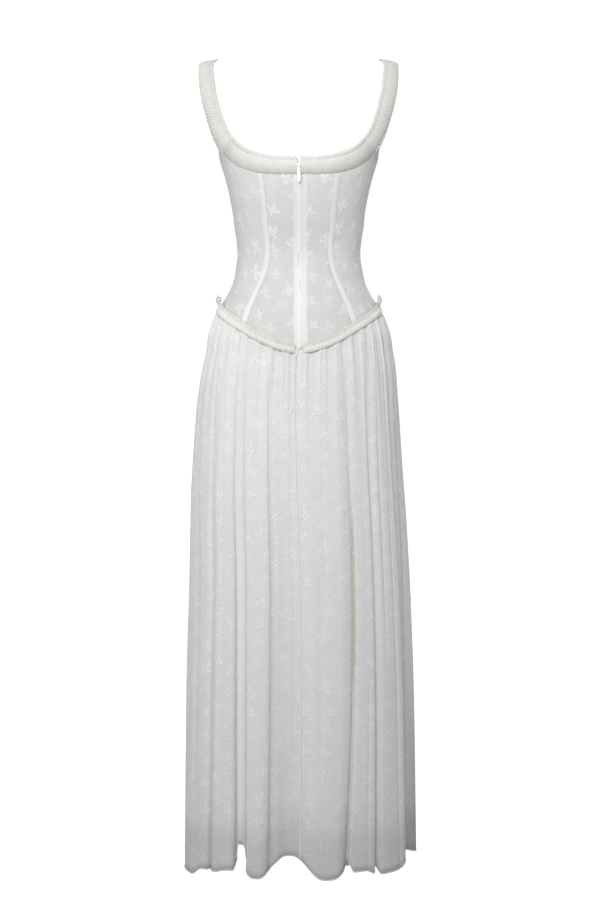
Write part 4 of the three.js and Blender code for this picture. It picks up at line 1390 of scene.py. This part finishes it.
# %% Folded edges and the back seam
def welt_place(side, width, start_drop, end_drop, lift, thick):
    def place(u, v):
        drop = mix(start_drop, end_drop, u)
        turn = 2 * np.pi * np.where(v == 1, 0.0, v)
        x = side + width * np.cos(turn)
        angle = np.sign(x) * angle_across(np.abs(x), drop)
        out = outward(behind_opening, angle, drop)
        return behind_opening(angle, drop) + out * (lift + thick * np.sin(turn))[..., None]
    return place


welts = {}
for name, panel, side, width, start_drop, end_drop, lift, thick in (
        ("zip_edge_left", "bodice_back_centre_left", -1.65, 1.5, 222.0, 547.0, 0.1, 0.3),
        ("zip_edge_right", "bodice_back_centre_right", 1.65, 1.5, 222.0, 547.0, 0.1, 0.3),
        ("skirt_back_seam", "skirt_back_left", 0.0, 1.3, 546.0, 1430.0, 0.3, 0.6)):
    mesh, points = lay_tube(name, 260, 8, welt_place(side, width, start_drop, end_drop, lift, thick))
    cloth = SEAM_CLOTH if panel == "skirt_back_left" else WELT_CLOTH
    welts[panel] = [add_piece(name, mesh, cloth)]

# %% One stitch, and rows of them
STITCH_LENGTH = 2.4
STITCH_STEP = 3.2
STITCH_RADIUS = 0.22


def stitch_mesh():
    """One thread between two holes: a thin bar whose ends dip into the cloth."""
    thread = bmesh.new()
    bmesh.ops.create_cone(thread, cap_ends=True, segments=6, radius1=1.0, radius2=1.0, depth=1.0)
    long_edges = [edge for edge in thread.edges if abs(edge.verts[0].co.z - edge.verts[1].co.z) > 0.5]
    bmesh.ops.subdivide_edges(thread, edges=long_edges, cuts=1, use_grid_fill=True)
    bmesh.ops.recalc_face_normals(thread, faces=thread.faces)
    corners = np.array([vertex.co[:] for vertex in thread.verts])
    mesh = bpy.data.meshes.new("stitch")
    thread.to_mesh(mesh)
    thread.free()
    return mesh, corners


STITCH, STITCH_CORNERS = stitch_mesh()


def sew(name, lines, body=BODY):
    """Rows of stitches along lines, each one a pair of arrays: points and outward directions."""
    seam = bmesh.new()
    count = 0
    for points, out in lines:
        steps = np.linalg.norm(np.diff(points, axis=0), axis=1)
        lengths = np.concatenate([[0], np.cumsum(steps)])
        for start in np.arange(0.6, lengths[-1] - STITCH_LENGTH, STITCH_STEP):
            ends = [np.array([np.interp(start + reach, lengths, points[:, k]) for k in range(3)])
                    for reach in (0, STITCH_LENGTH)]
            normal = unit(np.array([np.interp(start + STITCH_LENGTH / 2, lengths, out[:, k]) for k in range(3)]))
            run = unit(ends[1] - ends[0])
            side = np.cross(normal, run)
            middle = (ends[0] + ends[1]) / 2
            first = len(seam.verts)
            seam.from_mesh(STITCH)
            seam.verts.ensure_lookup_table()
            along = STITCH_CORNERS[:, 2:3]
            raised = 0.16 - 0.9 * np.abs(along) ** 2 * 0.8
            place = (middle + run * along * STITCH_LENGTH + side * STITCH_CORNERS[:, :1] * STITCH_RADIUS
                     + normal * (STITCH_CORNERS[:, 1:2] * STITCH_RADIUS + raised))
            for vertex, corner in zip(seam.verts[first:], place * MM):
                vertex.co = corner
            count += 1
    mesh = bpy.data.meshes.new(name)
    bmesh.ops.recalc_face_normals(seam, faces=seam.faces)
    seam.to_mesh(mesh)
    seam.free()
    mesh.uv_layers.new(name="cloth")
    print(name, count, "stitches")
    return add_piece(name, mesh, THREAD, (), body)


def line_on(surface, angle, drop, height):
    out = outward(surface, angle, drop)
    return surface(angle, drop) + out * height, out


def casing_line(line, offset):
    drop = np.linspace(180, 540, 300)
    angle = line(drop) + np.degrees(offset / 115)
    inside = (drop > casing_top(angle) + 0.5) & (drop < casing_bottom(angle) - 0.5)
    return line_on(form_point, angle[inside], drop[inside], 0.7)


casing_rows = [casing_line(line, offset) for line in (back_seam(-1), back_seam(1), front_seam(-1), front_seam(1))
               for offset in (-4.4, 4.4)]
casing_stitches = sew("casing_stitches", casing_rows)
zip_rows = []
for sign in (-1, 1):
    drop = np.linspace(226, 525, 240)
    zip_rows.append(line_on(form_point, sign * angle_across(6.5, drop), drop, 0.1))
zip_stitches = sew("zip_stitches", zip_rows)

# %% [markdown]
# ## The cut of each piece
# A sheet of cloth has a flat size that it was cut to. It is measured here on the finished
# surface: the widest and the longest way across it, and its area, since cloth hardly stretches.

for name, (piece, points) in skirts.items():
    declare_sheet(piece, points, [hems[name]] + welts.get(name, []))
for name, (piece, points) in bodice.items():
    declare_sheet(piece, points, welts.get(name, []))
for band, points, roll, roll_points in bands.values():
    declare_sheet(band, points)
    declare_sheet(roll, roll_points)
for roll, points, frill, frill_points in trims.values():
    declare_sheet(roll, points)
    declare_sheet(frill, frill_points)
CASING_TURNED_UNDER = 2.0
for piece, points in casings.values():
    declare_sheet(piece, points, [], CASING_TURNED_UNDER)
for piece, points in tapes.values():
    declare_sheet(piece, points)
for piece, points in bindings.values():
    declare_sheet(piece, points)

# %% [markdown]
# ## The zip's metal
# The slider and its pull tab already have their true shape from the construction model, with the
# pull on its own body, so that it swings. They only need their enamel.

# %% Paint the slider and the pull
for name in ("zip_slider", "zip_pull"):
    metal = bpy.data.objects[name]
    metal.data.materials.clear()
    metal.data.materials.append(ENAMEL)

# %% [markdown]
# ## Floor, light and camera
# The photo is a cut-out on white, so the floor and the world are almost white and the light comes
# softly from all round, a little stronger from the upper left and from behind the camera. The
# camera stands 3.4 m behind the dress, level with the waist, and looks slightly down.

# %% The stage
FLOOR_Z = -2.3
floor_mesh = bpy.data.meshes.new("floor")
plane = bmesh.new()
bmesh.ops.create_grid(plane, x_segments=1, y_segments=1, size=60.0)
bmesh.ops.translate(plane, verts=plane.verts, vec=(0, 0, FLOOR_Z))
plane.to_mesh(floor_mesh)
plane.free()
floor = bpy.data.objects.new("floor", floor_mesh)
bpy.context.scene.collection.objects.link(floor)
paper = Finish("pale floor")
through_cloth = paper.add("ShaderNodeLightPath", {}, {}, result="Transparent Depth").above(0.5)
glow = paper.colour_between((1, 1, 1, 1), (0.02, 0.02, 0.03, 1), through_cloth)
paper.set(Base_Color=(0.2, 0.2, 0.2, 1), Roughness=0.95, Specular_IOR_Level=0.0,
          Emission_Color=glow, Emission_Strength=1.0)
floor_mesh.materials.append(paper.material)
floor.visible_diffuse = False
floor.visible_glossy = False

AMBIENT_BELOW = 0.06
AMBIENT_ABOVE = 0.52
world = bpy.data.worlds.new("white room")
world.use_nodes = True
sky = world.node_tree
sky.nodes.clear()
room = sky.nodes.new("ShaderNodeBackground")
room.inputs["Color"].default_value = (1, 1, 1, 1)
way = sky.nodes.new("ShaderNodeTexCoord")
height = sky.nodes.new("ShaderNodeSeparateXYZ")
brighter = sky.nodes.new("ShaderNodeMapRange")
brighter.inputs["From Min"].default_value = -0.6
brighter.inputs["From Max"].default_value = 0.25
brighter.inputs["To Min"].default_value = AMBIENT_BELOW
brighter.inputs["To Max"].default_value = AMBIENT_ABOVE
sky.links.new(way.outputs["Generated"], height.inputs[0])
sky.links.new(height.outputs["Z"], brighter.inputs["Value"])
sky.links.new(brighter.outputs["Result"], room.inputs["Strength"])
backdrop = sky.nodes.new("ShaderNodeBackground")
backdrop.inputs["Strength"].default_value = 1.05
backdrop.inputs["Color"].default_value = (1, 1, 1, 1)
seen = sky.nodes.new("ShaderNodeLightPath")
clear = sky.nodes.new("ShaderNodeMath")
clear.operation = "GREATER_THAN"
either = sky.nodes.new("ShaderNodeMixShader")
sky.links.new(seen.outputs["Is Camera Ray"], clear.inputs[0])
sky.links.new(seen.outputs["Transparent Depth"], clear.inputs[1])
sky.links.new(clear.outputs[0], either.inputs["Fac"])
sky.links.new(room.outputs["Background"], either.inputs[1])
sky.links.new(backdrop.outputs["Background"], either.inputs[2])
sky.links.new(either.outputs["Shader"], sky.nodes.new("ShaderNodeOutputWorld").inputs["Surface"])
bpy.context.scene.world = world
bpy.context.scene.view_settings.view_transform = "Standard"
bpy.context.scene.view_settings.look = "None"


def soft_light(name, place, target, size, power):
    lamp = bpy.data.lights.new(name, "AREA")
    lamp.shape = "RECTANGLE"
    lamp.size, lamp.size_y = size
    lamp.energy = power
    holder = bpy.data.objects.new(name, lamp)
    holder.location = place
    direction = Vector(target) - Vector(place)
    holder.rotation_euler = direction.to_track_quat("-Z", "Y").to_euler()
    bpy.context.scene.collection.objects.link(holder)
    return holder


soft_light("key panel", (-0.3, -1.95, 0.3), (0, 0, -0.7), (1.1, 1.1), 38)
soft_light("front panel", (0.9, 2.6, 0.6), (0, 0, -0.7), (1.6, 1.6), 58)
soft_light("left panel", (-2.3, -0.5, -0.35), (0, 0, -0.6), (1.3, 1.3), 14)
soft_light("right panel", (2.3, -0.5, -0.3), (0, 0, -0.6), (1.3, 1.3), 9.5)

# %% The camera
# The lens axis is level, as a photographer keeps a gown's sides upright, and the frame is
# shifted down to take in the hem.
CAMERA_PLACE = (0.0015, -3.4, -0.5)
CAMERA_ROLL = 0.13
METRES_PER_PIXEL = 0.00184
FRAME_HEIGHT = 900
SHOULDER_ROW = 58
EYE_ROW = SHOULDER_ROW + 0.5 / METRES_PER_PIXEL
lens = bpy.data.cameras.new("photo camera")
lens.sensor_width = 36
lens.lens = lens.sensor_width * 3.4 / (FRAME_HEIGHT * METRES_PER_PIXEL)
lens.shift_y = -(FRAME_HEIGHT / 2 - EYE_ROW) / FRAME_HEIGHT
camera = bpy.data.objects.new("photo camera", lens)
camera.location = CAMERA_PLACE
camera.rotation_euler = (math.radians(90), math.radians(CAMERA_ROLL), 0)
bpy.context.scene.collection.objects.link(camera)
bpy.context.scene.camera = camera
print("lens", round(lens.lens, 1), "mm, shift", round(lens.shift_y, 3))

# %% Count the pieces and finish
print("pieces:", len(made))
